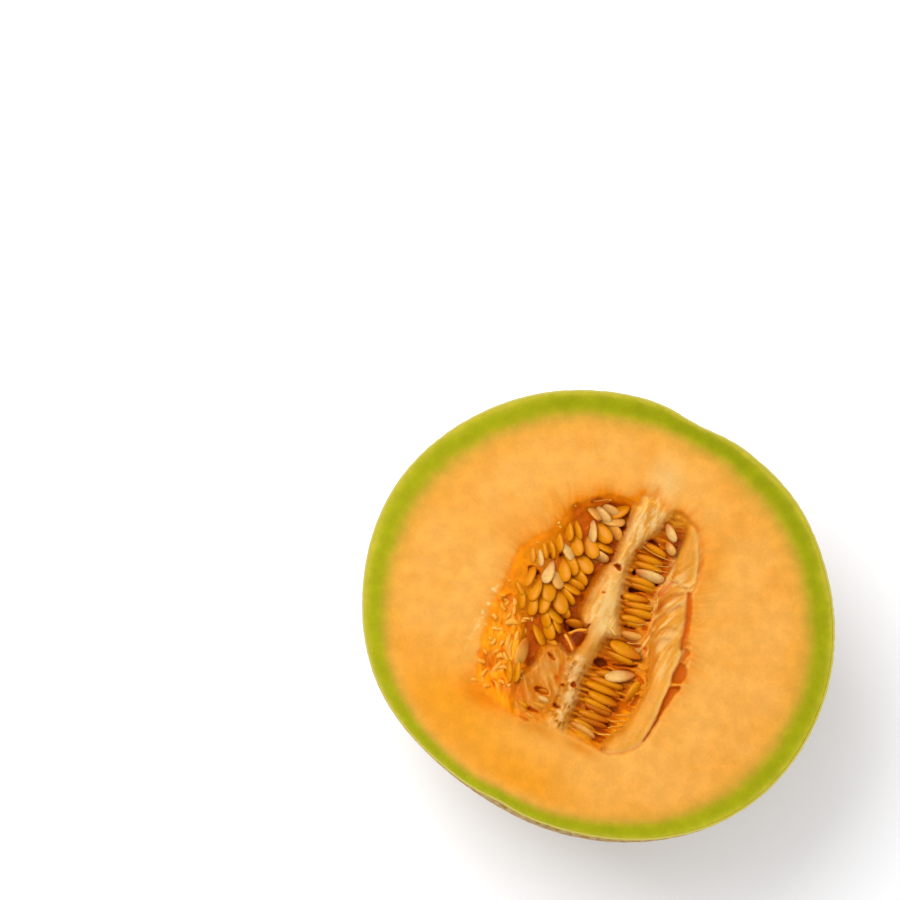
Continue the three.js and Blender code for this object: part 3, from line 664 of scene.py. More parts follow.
def rind_work():
    """The netted skin as an open surface, from the cut edge down to the flat spot."""
    rng = np.random.default_rng(5)
    corners, cells = sphere_cells()
    ways, sunk, net, faces = [], [], [], []

    def add(way, depth, share):
        ways.append(way / np.linalg.norm(way))
        sunk.append(depth)
        net.append(share)
        return len(ways) - 1

    made_corner, made_middle = {}, {}

    def corner(i):
        if i not in made_corner:
            made_corner[i] = add(corners[i], 0.0, 1.0)
        return made_corner[i]

    def between(i, j):
        key = (min(i, j), max(i, j))
        if key not in made_middle:
            gap = np.linalg.norm(corners[i] - corners[j])
            shake = rng.uniform(-LINE_WOBBLE, LINE_WOBBLE, 3) * gap
            made_middle[key] = add((corners[i] + corners[j]) / 2 + shake, rng.uniform(0, 0.12), 1.0)
        return made_middle[key]

    for middle, ids in cells:
        if middle[2] > CELLS_TOP:
            continue
        rim = []
        for i, j in zip(ids, ids[1:] + ids[:1]):
            rim += [corner(i), between(i, j)]
        half = NET_HALF_WIDTH * rng.uniform(0.7, 1.25)
        height = NET_HEIGHT * rng.uniform(0.85, 1.1)
        crest, foot = [], []
        for k in rim:
            way = ways[k] - middle
            away = np.linalg.norm(way) * HALF_WIDTH
            share = min(half / away, 0.6)
            low = min((half + NET_SLOPE) / away, 0.8)
            crest.append(add(middle + way * (1 - share), 0.12 * height, 0.8))
            foot.append(add(middle + way * (1 - low), 0.95 * height, 0.05))
        centre = add(middle, 0.88 * height, 0.0)
        for k in range(len(rim)):
            n = (k + 1) % len(rim)
            faces.append((rim[k], rim[n], crest[n], crest[k]))
            faces.append((crest[k], crest[n], foot[n], foot[k]))
            faces.append((foot[k], foot[n], centre))
    ways = np.array(ways)
    sunk = np.array(sunk) * smooth(0.01, -0.045, ways[:, 2]) + 0.1
    points = rind_points(ways, sunk)
    work = bmesh.new()
    share_layer = work.verts.layers.float.new("net")
    verts = [work.verts.new(p) for p in points]
    for vert, share in zip(verts, net):
        vert[share_layer] = share
    for face in faces:
        work.faces.new([verts[i] for i in face])
    for height, up in ((FACE_Z, 1), (0.0, -1)):
        geometry = list(work.verts) + list(work.edges) + list(work.faces)
        bmesh.ops.bisect_plane(
            work, geom=geometry, plane_co=(0, 0, height), plane_no=(0, 0, up), clear_outer=True, dist=0.0005
        )
    foot_edges = [e for e in work.edges if e.is_boundary and max(v.co.z for v in e.verts) < 1]
    bmesh.ops.contextual_create(work, geom=foot_edges)
    return work


def zip_loops(work, outer, inner):
    """Fills the ring between two loops of vertices that run round the middle."""
    def turn(vert):
        return math.atan2(vert.co.y, vert.co.x)

    outer, inner = sorted(outer, key=turn), sorted(inner, key=turn)
    i = j = 0
    while i < len(outer) or j < len(inner):
        a, b = outer[i % len(outer)], inner[j % len(inner)]
        next_a, next_b = outer[(i + 1) % len(outer)], inner[(j + 1) % len(inner)]
        turn_a = turn(next_a) + 2 * math.pi * ((i + 1) // len(outer))
        turn_b = turn(next_b) + 2 * math.pi * ((j + 1) // len(inner))
        if j >= len(inner) or (i < len(outer) and turn_a < turn_b):
            work.faces.new((a, next_a, b))
            i += 1
        else:
            work.faces.new((a, next_b, b))
            j += 1


def finish_rind(work, look):
    """Closes the netted skin with its cut edge and a plain inner side."""
    cut_layer = work.verts.layers.float.new("cut")
    outer = [e for e in work.edges if e.is_boundary and min(v.co.z for v in e.verts) > FACE_Z - 0.01]
    outer = [work.verts.new(v.co) for v in dict.fromkeys(v for e in outer for v in e.verts)]
    turns = np.linspace(-math.pi, math.pi, INSIDE_STEPS, endpoint=False)
    rings = []
    for level in range(INSIDE_RINGS):
        across, z = shell_level(level, INSIDE_RINGS, RIND_INSIDE)
        radii = edge_radius(turns, RIND_INSIDE if level else RIND_THICK)
        rings.append([
            work.verts.new((r * across * math.cos(t), r * across * math.sin(t), z))
            for r, t in zip(radii, turns)
        ])
    inner = [work.verts.new(v.co) for v in rings[0]]
    for vert in inner + outer:
        vert[cut_layer] = 1.0
    for high, low in zip(rings, rings[1:]):
        for k in range(INSIDE_STEPS):
            n = (k + 1) % INSIDE_STEPS
            work.faces.new((high[k], low[k], low[n], high[n]))
    work.faces.new(rings[-1])
    zip_loops(work, outer, inner)
    bmesh.ops.recalc_face_normals(work, faces=work.faces)
    mesh = bpy.data.meshes.new("rind")
    for vert in work.verts:
        vert.co *= MM
    work.to_mesh(mesh)
    work.free()
    return dress(mesh, look)


# The cut face and the seed cavity


def oval(x, y, px, py, length, width, turn):
    """Distance from the middle of an oval, one on its edge."""
    c, s = math.cos(math.radians(turn)), math.sin(math.radians(turn))
    u = ((x - px) * c + (y - py) * s) / (length / 2)
    v = (-(x - px) * s + (y - py) * c) / (width / 2)
    return np.hypot(u, v)


def spot(x, y, px, py, wide, high):
    """A soft patch, one in its middle."""
    return np.exp(-(((x - px) / wide) ** 2) - ((y - py) / high) ** 2)


def along_line(points, x, y):
    """Distance from a line of points."""
    return -in_chain([(*point, 0) for point in points], x, y)


def face_parts(x, y):
    """Depth of the cut face where it is seen at x, y, and the shares of its parts there."""
    shake = rough(x / 2.3, y / 2.3, 21), rough(x / 2.3 + 40, y / 2.3, 24)
    wx, wy = x + 0.45 * shake[0], y + 0.45 * shake[1]
    fx, fy = x + 0.2 * shake[0], y + 0.2 * shake[1]
    part = {"cavity": inside(CAVITY, wx, wy)}

    # Bed of the seeds: shallow at the left, deep by the band
    part["rungs"] = rough(x / 5 + 0.3, (y - 0.15 * x) / 0.85, 47)
    part["strings"] = smooth(12.2, 15.5, x) * smooth(-9, -4, y)
    past_seeds = x - 6 * smooth(-1, -9, y)
    ladder_bed = LADDER_BED + 1.5 * part["rungs"] * (1 - part["strings"]) - 3 * smooth(13, 17, past_seeds)
    ladder_bed = ladder_bed + 0.5 * part["strings"] * rough((x - 0.12 * y) / 0.75, y / 5, 43)
    left_bed = LEFT_BED + 0.3 * np.clip(x + 27, 0, 22) + 0.4 * rough(x / 1.6, y / 1.6, 31)
    bed = np.where(x < 0, left_bed, ladder_bed)
    within = inside(BAND, fx, fy)
    part["beside"] = np.exp(-np.clip(-within, 0, 9) / 1.6)
    bed = bed - 3.2 * part["beside"]
    depth = bed * smooth(-1.2, 4.6, part["cavity"])
    # Torn pulp at the lower left, and skins over the lower seeds
    part["shreds"] = rough(x / 1.3 + 0.4 * y, y / 2.0, 33)
    part["pulp"] = smooth(-1.5, 1.5, inside(PULP, wx, wy))
    torn = (PULP_DEPTH + 0.7 * part["shreds"]) * smooth(-1, 4.5, part["cavity"])
    depth = mix(depth, torn, part["pulp"])
    part["ridges"] = rough((0.77 * x + 0.64 * y) / 1.1, (0.64 * x - 0.77 * y) / 4.5, 35)
    part["skins"] = smooth(-1.2, 1.2, inside(SKINS, wx, wy))
    skinned = (SKINS_DEPTH + 0.4 * part["ridges"]) * smooth(-0.5, 3, part["cavity"])
    depth = mix(depth, skinned, part["skins"])
    # The slope at the left of the band, and the band
    fall = part["fall"] = smooth(-0.6, -6.6, x + 0.3 * shake[0])
    part["slope"] = smooth(-0.8, 0.8, inside(SLOPE, fx, fy))
    depth = mix(depth, SLOPE_TOP + SLOPE_DROP * fall, part["slope"])
    part["fibres"] = rough(x / 0.6 + 0.1 * y + 0.6 * shake[0], y / 4.2, 37)
    part["clumps"] = -rough(x / 1.2, y / 1.5, 45)
    part["web"] = smooth(0.05, 0.5, -part["clumps"]) * smooth(-13, -20, y)
    part["in_band"] = within
    part["grain"] = rough(x / 0.8, y / 1.1, 49)
    band_depth = BAND_DEPTH + 0.06 * part["fibres"] + 0.7 * part["web"]
    band_depth = band_depth + 1.3 * np.exp(-np.clip(within, 0, 9) / 0.8)
    band_depth = band_depth * smooth(45, 36, y) * smooth(-44, -38, y)
    frayed = within + 0.35 * part["fibres"] + 0.4 * rough(x / 1.8, y / 0.6, 93)
    part["band"] = smooth(-1.4 - 1.2 * part["slope"], 0.5, frayed)
    depth = mix(depth, band_depth, part["band"])
    # The ribbed fold and the lobe above it
    part["ribs"] = rough(fx - 0.05 * np.clip(fy + 2, 0, 30) ** 1.6, fy / 7, 41)
    for name, inner, outer, low, fade in FOLDS:
        share = part[name] = smooth(-0.6, 0.5, inside(inner + outer, fx, fy))
        away = along_line(inner, fx, fy)
        folds = 0.12 * rough(fx / 6 + 0.1 * fy, fy / 0.9, 89) * smooth(-10, -18, fy)
        ripple = 0.24 * part["ribs"] * np.exp(-away / 5) + folds
        part[name + "_low"] = np.exp(-away / fade)
        part[name + "_lip"] = np.exp(-((along_line(outer, fx, fy) - 0.7) ** 2) / 0.5)
        depth = mix(depth, FOLD_DEPTH + low * part[name + "_low"] + ripple, share)
    depth = depth * smooth(-0.8, 1.2, part["cavity"])

    # Shade painted into the holes, pits and grooves, as dark as each one's darkness
    part["gloom"] = 0 * x

    def sink(share, deep, dark):
        part["gloom"] = np.maximum(part["gloom"], share * dark)
        return np.maximum(depth, deep * share)

    for outline, deep, dark in HOLES:
        depth = sink(smooth(-0.4, 0.5, inside(outline, fx, fy)), deep, dark)
    for px, py, length, width, turn, deep, dark in PITS:
        depth = sink(smooth(1.3, 0.6, oval(wx, wy, px, py, length, width, turn)), deep, dark)
    for chain, deep, dark in GROOVES:
        share = smooth(-1.3, 0.4, in_chain(chain, fx, fy))
        part["gloom"] = np.maximum(part["gloom"], share * dark)
        depth = depth + 0.45 * deep * share
    return depth, part


def relief(x, y):
    """Depth below the cut face, linear colour and wetness, for points of the face."""
    angle = np.arctan2(y, x)
    rim = edge_radius(angle, 0.0) - np.hypot(x, y)
    x, y = x - CENTRE[0], y - CENTRE[1]
    depth = 0 * x
    for _ in range(5):
        wanted, part = face_parts(x, (y - LEAN * depth) / SEEN_UP)
        depth = mix(depth, wanted, 0.6)
    y = (y - LEAN * depth) / SEEN_UP

    def paint(colour, code, share):
        return mix(colour, np.array(rgb(code)), np.clip(share, 0, 1)[:, None])

    def coats(colour, *pairs):
        for code, share in pairs:
            colour = paint(colour, code, share)
        return colour

    # Green rim to orange flesh
    away = np.hypot(x, y)
    degrees = np.degrees(angle) % 360
    widths = np.interp(degrees, *RIM_WIDTHS)
    rim = rim / widths + 0.5 * rough(angle * 18, away / 9, 51) + 0.5 * rough(x / 14, y / 14, 53)
    table = np.array([rgb(s) for s in RIM_SHADES])
    colour = np.stack([np.interp(rim, RIM_STOPS, table[:, k]) for k in range(3)], 1)
    dark = np.interp(degrees, *RIM_DARKNESS) + 0.35 * rough(angle * 9, away / 20, 75)
    dark = 0.6 * np.clip(dark, 0, 1) * smooth(0.8, 2.4, rim) * smooth(8, 4.5, rim)
    colour = paint(colour, "8E9400", dark)

    body = smooth(9, 16, rim)
    cloud = rough(x / 9, y / 9, 55)
    streaks = rough(angle * 12, away / 9, 57)
    near = spot(x, y, -24, 26, 13, 13)
    colour = paint(colour, "FBB963", 0.5 * body * smooth(-0.1, 0.7, cloud + 0.3))
    colour = paint(colour, "F4A640", body * (0.3 + 0.6 * near) * smooth(0, 0.8, streaks - 0.5 * cloud))
    for *place, code, share in PATCHES:
        colour = paint(colour, code, share * spot(x, y, *place) * body)
    # Fine fibres in the flesh round the cavity
    outside = np.clip(-part["cavity"], 0, 60)
    edge = np.exp(-outside / 2.2)
    fuzz = smooth(-0.4, 0.6, rough(angle * 36, away / 5, 59))
    upper = smooth(-30, -6, y) + smooth(14, 20, y) * (x < 0)
    colour = paint(colour, "E88406", edge * (0.4 + 0.5 * fuzz) * upper)
    fringe = np.exp(-outside / 6) * smooth(0.1, 0.5, rough(angle * 40, away / 12, 87))
    colour = paint(colour, "EE9424", fringe * (0.9 * near + 0.7 * spot(x, y, 27, 22, 7, 14)))
    pale = smooth(0.35, 0.65, rough(x / 1.2, y / 1.6, 61))
    places = spot(x, y, -32, -13, 2.6, 8) + spot(x, y, -29, -24, 2, 6)
    colour = paint(colour, "FCE0AC", 0.75 * pale * places)

    # Colours inside the cavity
    within = smooth(-0.8, 1.6, part["cavity"])
    # Painted shade: the cavity's orange darkens the deeper it lies
    shaded_by_depth = mix(np.array(rgb("FF9808")), np.array(rgb("C85600")), smooth(1.5, 6.5, depth)[:, None])
    inner = shaded_by_depth * (1 + 0.07 * rough(x / 1.4, y / 1.4, 63))[:, None]
    strings = smooth(-0.5, 0.6, rough((x - 0.12 * y) / 0.75, y / 5, 43))
    hung = (x > 0) * part["beside"] * smooth(-0.6, 0.3, rough(x / 2.5, y / 0.7, 95))
    pulp, skins, slope, fall, band = (part[k] for k in ("pulp", "skins", "slope", "fall", "band"))
    inner = coats(
        inner,
        # Ladder bed: a lighter orange where it rises, painted shade where it sinks between the seeds
        ("F09C18", 0.7 * (x > 1) * smooth(0.1, 0.7, -part["rungs"])),
        ("B04400", 0.5 * (x > 1) * smooth(0.2, 0.8, part["rungs"])),
        ("E89A2C", 0.9 * hung),
        ("F8C474", part["strings"] * (1 - strings)),
        ("DC7C0C", part["strings"] * strings),
        ("FFA80C", 0.95 * pulp),
        ("FFBE38", 0.6 * pulp * smooth(0.2, 0.6, -part["shreds"])),
        ("F57C00", pulp * smooth(0.1, 0.6, part["shreds"])),
    )
    inner = inner * (1 + pulp[:, None] * np.array((0.2, 0, -0.5)))
    inner = coats(
        inner,
        ("D47A10", 0.9 * skins),
        ("E8A650", 0.8 * skins * smooth(0.0, 0.7, -part["ridges"])),
        # The slope at the left of the band: painted shade, darker the lower it falls
        ("DA8828", slope),
        ("D07408", slope * smooth(0.15, 0.6, fall)),
        ("B85A04", slope * smooth(0.6, 1.0, fall)),
        ("EAA850", band),
        ("DA9234", 0.8 * band * np.maximum(smooth(23, 30, y), smooth(-7, -12, y))),
        ("F8D29A", 0.75 * band * smooth(-0.3, 0.6, -part["fibres"]) * smooth(-14, -2, y)),
        ("D88E30", 0.55 * band * smooth(0.1, 0.7, part["fibres"])),
        ("FADCAC", 0.45 * band * smooth(0.2, 0.6, part["grain"]) * smooth(-12, -4, y)),
        ("F6D29C", 0.65 * band * smooth(0.05, 0.5, part["clumps"]) * smooth(-12, -18, y)),
        ("B4600C", 0.75 * band * part["web"]),
        ("DC8C24", 0.7 * band * np.exp(-np.clip(part["in_band"], 0, 9) / 0.7)),
    )
    for name in ("fold", "lobe"):
        whole, low, lip = part[name], part[name + "_low"], part[name + "_lip"]
        golden = smooth(26, 21.5, x - 0.06 * y) * smooth(6, -3, y) * smooth(-38, -30, y) + smooth(22, 17, x)
        ribbed = whole * (0.35 + 0.65 * low**0.4) * smooth(30, 25, x)
        ribbed = ribbed * smooth(-26, -8, y) * smooth(30, 17, y)
        inner = coats(
            inner,
            ("ECA23C", whole),
            ("DA8A20", 0.65 * whole * np.clip(golden, 0, 1)),
            # Paler on the crests of the ribs, painted shade in the grooves between them
            ("F8D096", 0.75 * ribbed * smooth(0.0, 0.5, -part["ribs"])),
            ("D07A14", 0.65 * ribbed * smooth(0.0, 0.5, part["ribs"])),
            # Painted shade on the fold's sunken inner side
            ("DC8414", whole * smooth(0.2, 0.8, low) * smooth(12, -4, y)),
            ("FCD08A", 0.45 * whole * lip),
        )
    for *place, code, share in DEEP_PATCHES:
        inner = paint(inner, code, share * spot(x, y, *place))
    # Painted glow: the cavity's walls at the left are brightened and reddened, standing in for light shining
    # through the flesh
    painted_wall_glow = np.exp(-(((part["cavity"] - 1.3) / 1.3) ** 2)) * smooth(6, -2, x)
    inner = inner * (1 + painted_wall_glow[:, None] * np.array((0.2, 0.1, -0.3)))
    colour = mix(colour, inner, within[:, None])
    # Painted shade in the holes, pits and grooves: deeper orange, then dark red-brown
    gloom = part["gloom"]
    colour = paint(colour, "DC6400", smooth(0, 0.35, gloom))
    colour = paint(colour, "842600", smooth(0.35, 0.85, gloom))
    wet = np.clip(within * (1 - gloom), 0, 1)
    return depth, colour, wet


def flesh_object(look):
    """The flesh: a grid over the cavity, rings out to the rind, and a plain underside."""
    xs, ys = np.arange(GRID_X[0], GRID_X[1], GRID_STEP), np.arange(GRID_Y[0], GRID_Y[1], GRID_STEP)
    gx, gy = np.meshgrid(xs, ys)
    x, y = gx.ravel(), gy.ravel()
    wide, high = len(xs), len(ys)
    faces = []
    for j in range(high - 1):
        row = j * wide
        faces += [(row + i, row + i + 1, row + wide + i + 1, row + wide + i) for i in range(wide - 1)]
    border = list(range(wide - 1))
    border += [j * wide + wide - 1 for j in range(high - 1)]
    border += [(high - 1) * wide + i for i in range(wide - 1, 0, -1)]
    border += [j * wide for j in range(high - 1, 0, -1)]
    bx, by = x[border], y[border]
    turns = np.arctan2(by, bx)
    radii = edge_radius(turns, RIND_THICK)
    ex, ey = radii * np.cos(turns), radii * np.sin(turns)
    count = len(border)
    all_x, all_y = [x], [y]
    ring, total = np.array(border), len(x)

    def join(ring, total):
        fresh = total + np.arange(count)
        for i in range(count):
            n = (i + 1) % count
            faces.append((int(ring[i]), int(fresh[i]), int(fresh[n]), int(ring[n])))
        return fresh, total + count

    for k in range(1, FACE_RINGS + 1):
        share = 1 - (1 - k / FACE_RINGS) ** 1.35
        all_x.append(mix(bx, ex, share))
        all_y.append(mix(by, ey, share))
        ring, total = join(ring, total)
    x, y = np.concatenate(all_x), np.concatenate(all_y)
    depth, colour, wet = relief(x, y)
    points = np.stack([x, y, FACE_Z - depth], 1)
    points[-count:, 2] = FACE_Z
    lower = edge_radius(turns, FLESH_UNDER)
    ex, ey = lower * np.cos(turns), lower * np.sin(turns)
    under = []
    for level in range(1, UNDER_RINGS + 1):
        across, z = shell_level(level, UNDER_RINGS + 1, FLESH_UNDER)
        under.append(np.stack([ex * across, ey * across, np.full(count, z)], 1))
        ring, total = join(ring, total)
    faces.append(tuple(int(i) for i in ring[::-1]))
    points = np.concatenate([points, *under])
    more = len(points) - len(colour)
    colour = np.concatenate([colour, np.tile(rgb("A6A80C"), (more, 1))])
    wet = np.concatenate([wet, np.zeros(more)])
    made = new_object("flesh", points, faces, look)
    store(made, "tint", colour)
    store(made, "wet", wet)
    return made


# Seeds, shreds and strands


def at_depth(x, y, deep):
    """Place at a depth below the face that the camera sees at x, y."""
    return np.array([x + CENTRE[0], y * SEEN_UP + CENTRE[1] + LEAN * deep, FACE_Z - deep])


def seed_shape(around=16, along=14):
    """A teardrop seed along X from its root at -0.5 to its tip at 0.5, of unit width and thickness."""
    points, faces, run = [], [], []
    for i in range(along + 1):
        u = 0.5 - 0.5 * math.cos(math.pi * i / along)
        full = max(4 * u * (1 - u), 0) ** 0.44 * (1 - 0.36 * math.exp(-u / 0.22)) * (0.96 + 0.1 * u)
        for k in range(around):
            t = 2 * math.pi * k / around
            c, s = math.cos(t), math.sin(t)
            height = 0.5 * full**0.8 * abs(s) ** 0.85
            points.append((u - 0.5, 0.5 * full * c, height if s > 0 else -height))
            run.append(u)
    for i in range(along):
        for k in range(around):
            n = (k + 1) % around
            a, b = i * around, (i + 1) * around
            faces.append((a + k, b + k, b + n, a + n))
    return np.array(points), faces, np.array(run)


def turned(turn, tilt, roll):
    """Matrix that rolls a piece about its length, lifts its tip and turns it on the face."""
    spin = (
        Matrix.Rotation(math.radians(turn), 3, "Z")
        @ Matrix.Rotation(-math.radians(tilt), 3, "Y")
        @ Matrix.Rotation(math.radians(roll), 3, "X")
    )
    return np.array(spin)


class Bunch:
    """Points, faces and values of many small pieces that make one object."""

    def __init__(self):
        self.points, self.faces, self.pale, self.along = [], [], [], []

    def add(self, points, faces, pale, along):
        start = sum(len(p) for p in self.points)
        self.points.append(points)
        self.faces += [tuple(start + i for i in face) for face in faces]
        self.pale.append(np.full(len(points), pale))
        self.along.append(along)

    def made(self, name, look):
        made = new_object(name, np.concatenate(self.points), self.faces, look)
        store(made, "pale", np.concatenate(self.pale))
        store(made, "along", np.concatenate(self.along))
        return made


def join_seeds(name, placed, look):
    """One object of seeds given by middle, length, width, thickness, turn, tilt, roll and paleness."""
    rng = np.random.default_rng(17)
    base, base_faces, run = seed_shape()
    bunch = Bunch()
    for middle, length, width, thick, turn, tilt, roll, tone in placed:
        shaped = base * np.array([length, width, thick])
        shaped[:, 1] += rng.normal(0, 0.05) * width * (2 * run - 1) ** 2
        shaped[:, 2] += rng.normal(0, 0.06) * thick * (2 * run - 1) ** 2
        bunch.add(shaped @ turned(turn, tilt, roll).T + middle, base_faces, tone + rng.normal(0, 0.04), run)
    return bunch.made(name, look)


def roll_for(width):
    """Roll that makes a seed look that wide from above."""
    share = (width**2 - SEED_THICK**2) / (SEED_WIDTH**2 - SEED_THICK**2)
    return math.degrees(math.acos(math.sqrt(np.clip(share, 0, 1))))


def left_seeds():
    """The shingled seeds, and another seed below each one in the middle rows, away from the gaps."""
    placed = []
    rng = np.random.default_rng(3)
    for x, y, width, turn, tone in LEFT_SEEDS:
        tilt = (SEED_TILT if y > LOW_FROM else LOW_TILT) + rng.uniform(-3, 3)
        length = SEED_LENGTH * rng.uniform(0.95, 1.05)
        roll = roll_for(width) * (1 if rng.random() < 0.7 else -1)
        deep = 1.0 + 0.17 * np.clip(x + 26, 0, 20) if y > LOW_FROM else 0.6
        way = np.array([math.cos(math.radians(turn)), math.sin(math.radians(turn)), 0])
        back = way * length * math.cos(math.radians(tilt)) / 2
        back[2] = math.sin(math.radians(tilt)) * length / 2
        rise = SEED_WIDTH / 2 * abs(math.sin(math.radians(roll))) - SEED_THICK / 2
        middle = at_depth(x, y, deep + 0.6 + 0.6 * max(rise, 0)) - back
        placed.append((middle, length, SEED_WIDTH, SEED_THICK, turn, tilt, roll * 0.9, tone))
        if abs(y) > 20 or min(math.hypot(x - gx, y - gy) for gx, gy in GAPS) < 3:
            continue
        aside = np.array([-way[1], way[0], 0]) * rng.uniform(-2.4, 2.4)
        below = middle - 1.8 * way + aside - np.array([0, 0, UNDER_SEED])
        askew, rolled = rng.uniform(-14, 14), rng.uniform(-20, 20)
        size = (length * 0.95, SEED_WIDTH * 0.95, SEED_THICK)
        placed.append((below, *size, turn + askew, tilt - 3, rolled, 0.0))
    return placed


def right_seeds():
    """The ladder of seeds on edge, and the odd ones above and below it."""
    placed = []
    rng = np.random.default_rng(4)
    for x1, x2, y, width, turn, tone, deep in LADDER:
        length = (x2 - x1) / math.cos(math.radians(turn))
        roll = 90 - max(0, width - SEED_THICK) / (SEED_WIDTH - SEED_THICK) * 90
        tall = SEED_WIDTH * math.sin(math.radians(roll)) / 2 + 0.4
        flip = 180 if rng.random() < 0.5 else 0
        middle = at_depth((x1 + x2) / 2, y, deep) - np.array([0, 0, tall * 0.8])
        size = (max(length, 8.2) * 1.08, SEED_WIDTH, SEED_THICK * 1.3)
        placed.append((middle, *size, turn + flip, rng.uniform(-4, 4), roll, tone))
    for x, y, length, width, turn, tone, deep in ODD_SEEDS:
        middle = at_depth(x, y, deep) - np.array([0, 0, 0.8])
        size = (length, max(width, SEED_WIDTH * 0.8), SEED_THICK)
        placed.append((middle, *size, turn, 4, roll_for(width), tone))
    return placed


def pulp_object(look):
    """Torn shreds lying on the pulp and strands of it between the seeds, and small pale bits that are
    painted glints.
    """
    rng = np.random.default_rng(8)
    base, base_faces, run = seed_shape(12, 12)
    bunch = Bunch()
    spots = np.array([(s[0], s[1]) for s in SHREDS_AND_GLINTS], float)
    depths, _ = face_parts(spots[:, 0], spots[:, 1])
    for (x, y, length, width, turn, tone), deep in zip(SHREDS_AND_GLINTS, depths):
        shaped = base * np.array([length * 1.15, width * 1.15, max(width * 0.6, 0.4)])
        shaped[:, 1] += rng.normal(0, 0.35) * width * (2 * run - 1) ** 2
        lumps = rough(base[:, 0] * 4 + x, base[:, 1] * 3 + base[:, 2] * 3 + y, 91)
        shaped[:, 1:] *= (1 + 0.3 * lumps)[:, None]
        middle = at_depth(x, y, max(deep - 0.1, 0.1))
        bunch.add(shaped @ turned(turn, rng.uniform(-6, 12), 0).T + middle, base_faces, 0.5 * tone, run)
    for radius, tone, deep, *spots in STRANDS:
        steps = 8 * (len(spots) - 1)
        t = np.linspace(0, len(spots) - 1, steps + 1)
        line = [np.interp(t, range(len(spots)), [s[k] for s in spots]) for k in range(2)]
        line = [np.convolve(np.pad(part, 3, "edge"), np.full(7, 1 / 7), "valid") for part in line]
        side = rng.uniform(-1, 1) * 0.3
        points = []
        for i in range(steps + 1):
            share = i / steps
            bow = 0.5 * math.sin(math.pi * share) ** 0.6
            lower = deep + 1.6 * (1 - 2 * bow) ** 2
            middle = at_depth(line[0][i] + side * bow, line[1][i] - side * bow, lower)
            before, after = max(i - 1, 0), min(i + 1, steps)
            way = np.array([line[0][after] - line[0][before], line[1][after] - line[1][before], 0])
            way /= np.linalg.norm(way)
            thick = 0.5 * radius * (1 + 0.15 * math.sin(9 * share + 20 * side))
            for turn in np.linspace(0, 2 * math.pi, 8, endpoint=False):
                out = np.array([-math.cos(turn) * way[1], math.cos(turn) * way[0], 0.8 * math.sin(turn)])
                points.append(middle + thick * out)
        faces = [(8 * i + k, 8 * i + 8 + k, 8 * i + 8 + (k + 1) % 8, 8 * i + (k + 1) % 8)
                 for i in range(steps) for k in range(8)]
        faces += [tuple(range(7, -1, -1)), tuple(range(8 * steps, 8 * steps + 8))]
        bunch.add(np.array(points), faces, tone, np.full(len(points), 0.5))
    return bunch.made("pulp_fine", look)


# The pieces


FLESH, SEED, PULP_LOOK, RIND = flesh_material(), seed_material(), pulp_material(), rind_material()
rind = finish_rind(rind_work(), RIND)
flesh = flesh_object(FLESH)
seeds_left = join_seeds("seeds_left_fine", left_seeds(), SEED)
seeds_right = join_seeds("seeds_right_fine", right_seeds(), SEED)
pulp = pulp_object(PULP_LOOK)

for piece, node, slot in (
    (flesh, "melon_half", "flesh"),
    (rind, "melon_half", "rind"),
    (pulp, "melon_half", "pulp"),
    (seeds_left, "seeds_left", "seed"),
    (seeds_right, "seeds_right", "seed"),
):
    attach(piece, "root")
    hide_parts(node)


# Floor, light and camera


FLOOR_HALF = 4000
FLOOR_COLOUR = (0.93, 0.94, 0.96, 1)
SKY_STRENGTH = 0.86
# The lamp: its direction in the camera's right, up and back, side in metres, power and distance
KEY_TOWARD, KEY_SIDE, KEY_POWER, KEY_AWAY = (-0.44, 0.57, 1.0), 0.65, 7.2, 0.9


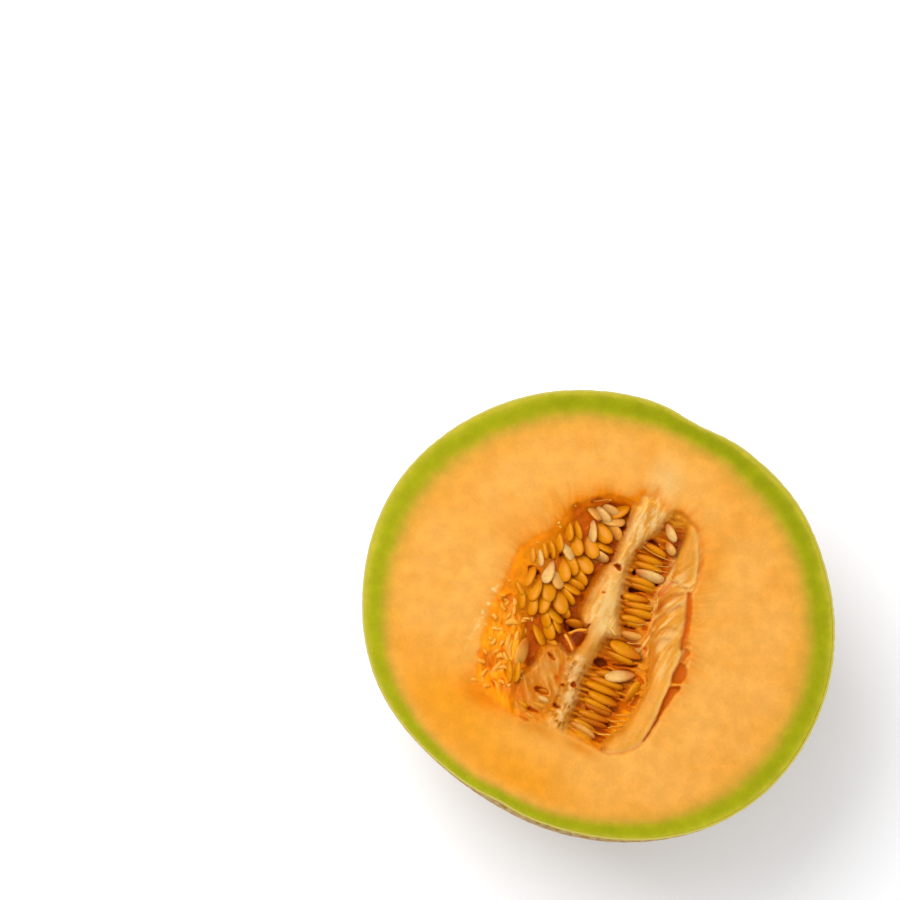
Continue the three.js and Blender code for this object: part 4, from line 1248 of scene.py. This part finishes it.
def stage_and_light():
    floor_look, tree, shader = material("floor", Roughness=0.9, Specular_IOR_Level=0.1)
    shader.inputs["Base Color"].default_value = FLOOR_COLOUR
    corners = [(x * FLOOR_HALF, y * FLOOR_HALF, 0) for x, y in ((-1, -1), (1, -1), (1, 1), (-1, 1))]
    floor = new_object("floor", corners, [(0, 1, 2, 3)], floor_look)
    world = bpy.data.worlds.new("studio")
    bpy.context.scene.world = world
    world.use_nodes = True
    sky = world.node_tree.nodes["Background"]
    sky.inputs["Color"].default_value = (1, 1, 1, 1)
    sky.inputs["Strength"].default_value = SKY_STRENGTH


def camera_axes():
    tilt, roll = math.radians(CAMERA_TILT), math.radians(CAMERA_ROLL)
    flat_right, flat_up = Vector((1, 0, 0)), Vector((0, math.cos(tilt), math.sin(tilt)))
    right = flat_right * math.cos(roll) + flat_up * math.sin(roll)
    up = flat_up * math.cos(roll) - flat_right * math.sin(roll)
    return right, up, Vector((0, -math.sin(tilt), math.cos(tilt)))


def add_lamp():
    """A soft square lamp over the camera's left shoulder."""
    lamp = bpy.data.lights.new("key", "AREA")
    lamp.shape, lamp.size, lamp.energy = "SQUARE", KEY_SIDE, KEY_POWER
    made = bpy.data.objects.new("key", lamp)
    way = sum((axis * part for axis, part in zip(camera_axes(), KEY_TOWARD)), Vector()).normalized()
    made.location = Vector((0, 0, FACE_Z * MM)) + way * KEY_AWAY
    made.rotation_mode = "QUATERNION"
    made.rotation_quaternion = way.to_track_quat("Z", "Y")
    bpy.context.scene.collection.objects.link(made)


def add_camera():
    right, up, back = camera_axes()
    lens = bpy.data.cameras.new("camera")
    lens.sensor_width = 36
    lens.lens = 36 * CAMERA_AWAY / (PICTURE * MM_PER_PIXEL)
    lens.clip_start, lens.clip_end = 0.05, 20
    made = bpy.data.objects.new("camera", lens)
    across = (FACE_PIXEL[0] - PICTURE / 2) * MM_PER_PIXEL
    below = (FACE_PIXEL[1] - PICTURE / 2) * MM_PER_PIXEL
    place = Vector((0, 0, FACE_Z)) + back * CAMERA_AWAY - right * across + up * below
    made.matrix_world = Matrix.Translation(place * MM) @ Matrix((right, up, back)).transposed().to_4x4()
    bpy.context.scene.collection.objects.link(made)
    bpy.context.scene.camera = made


stage_and_light()
add_lamp()
add_camera()
bpy.context.scene.view_settings.view_transform = "Standard"
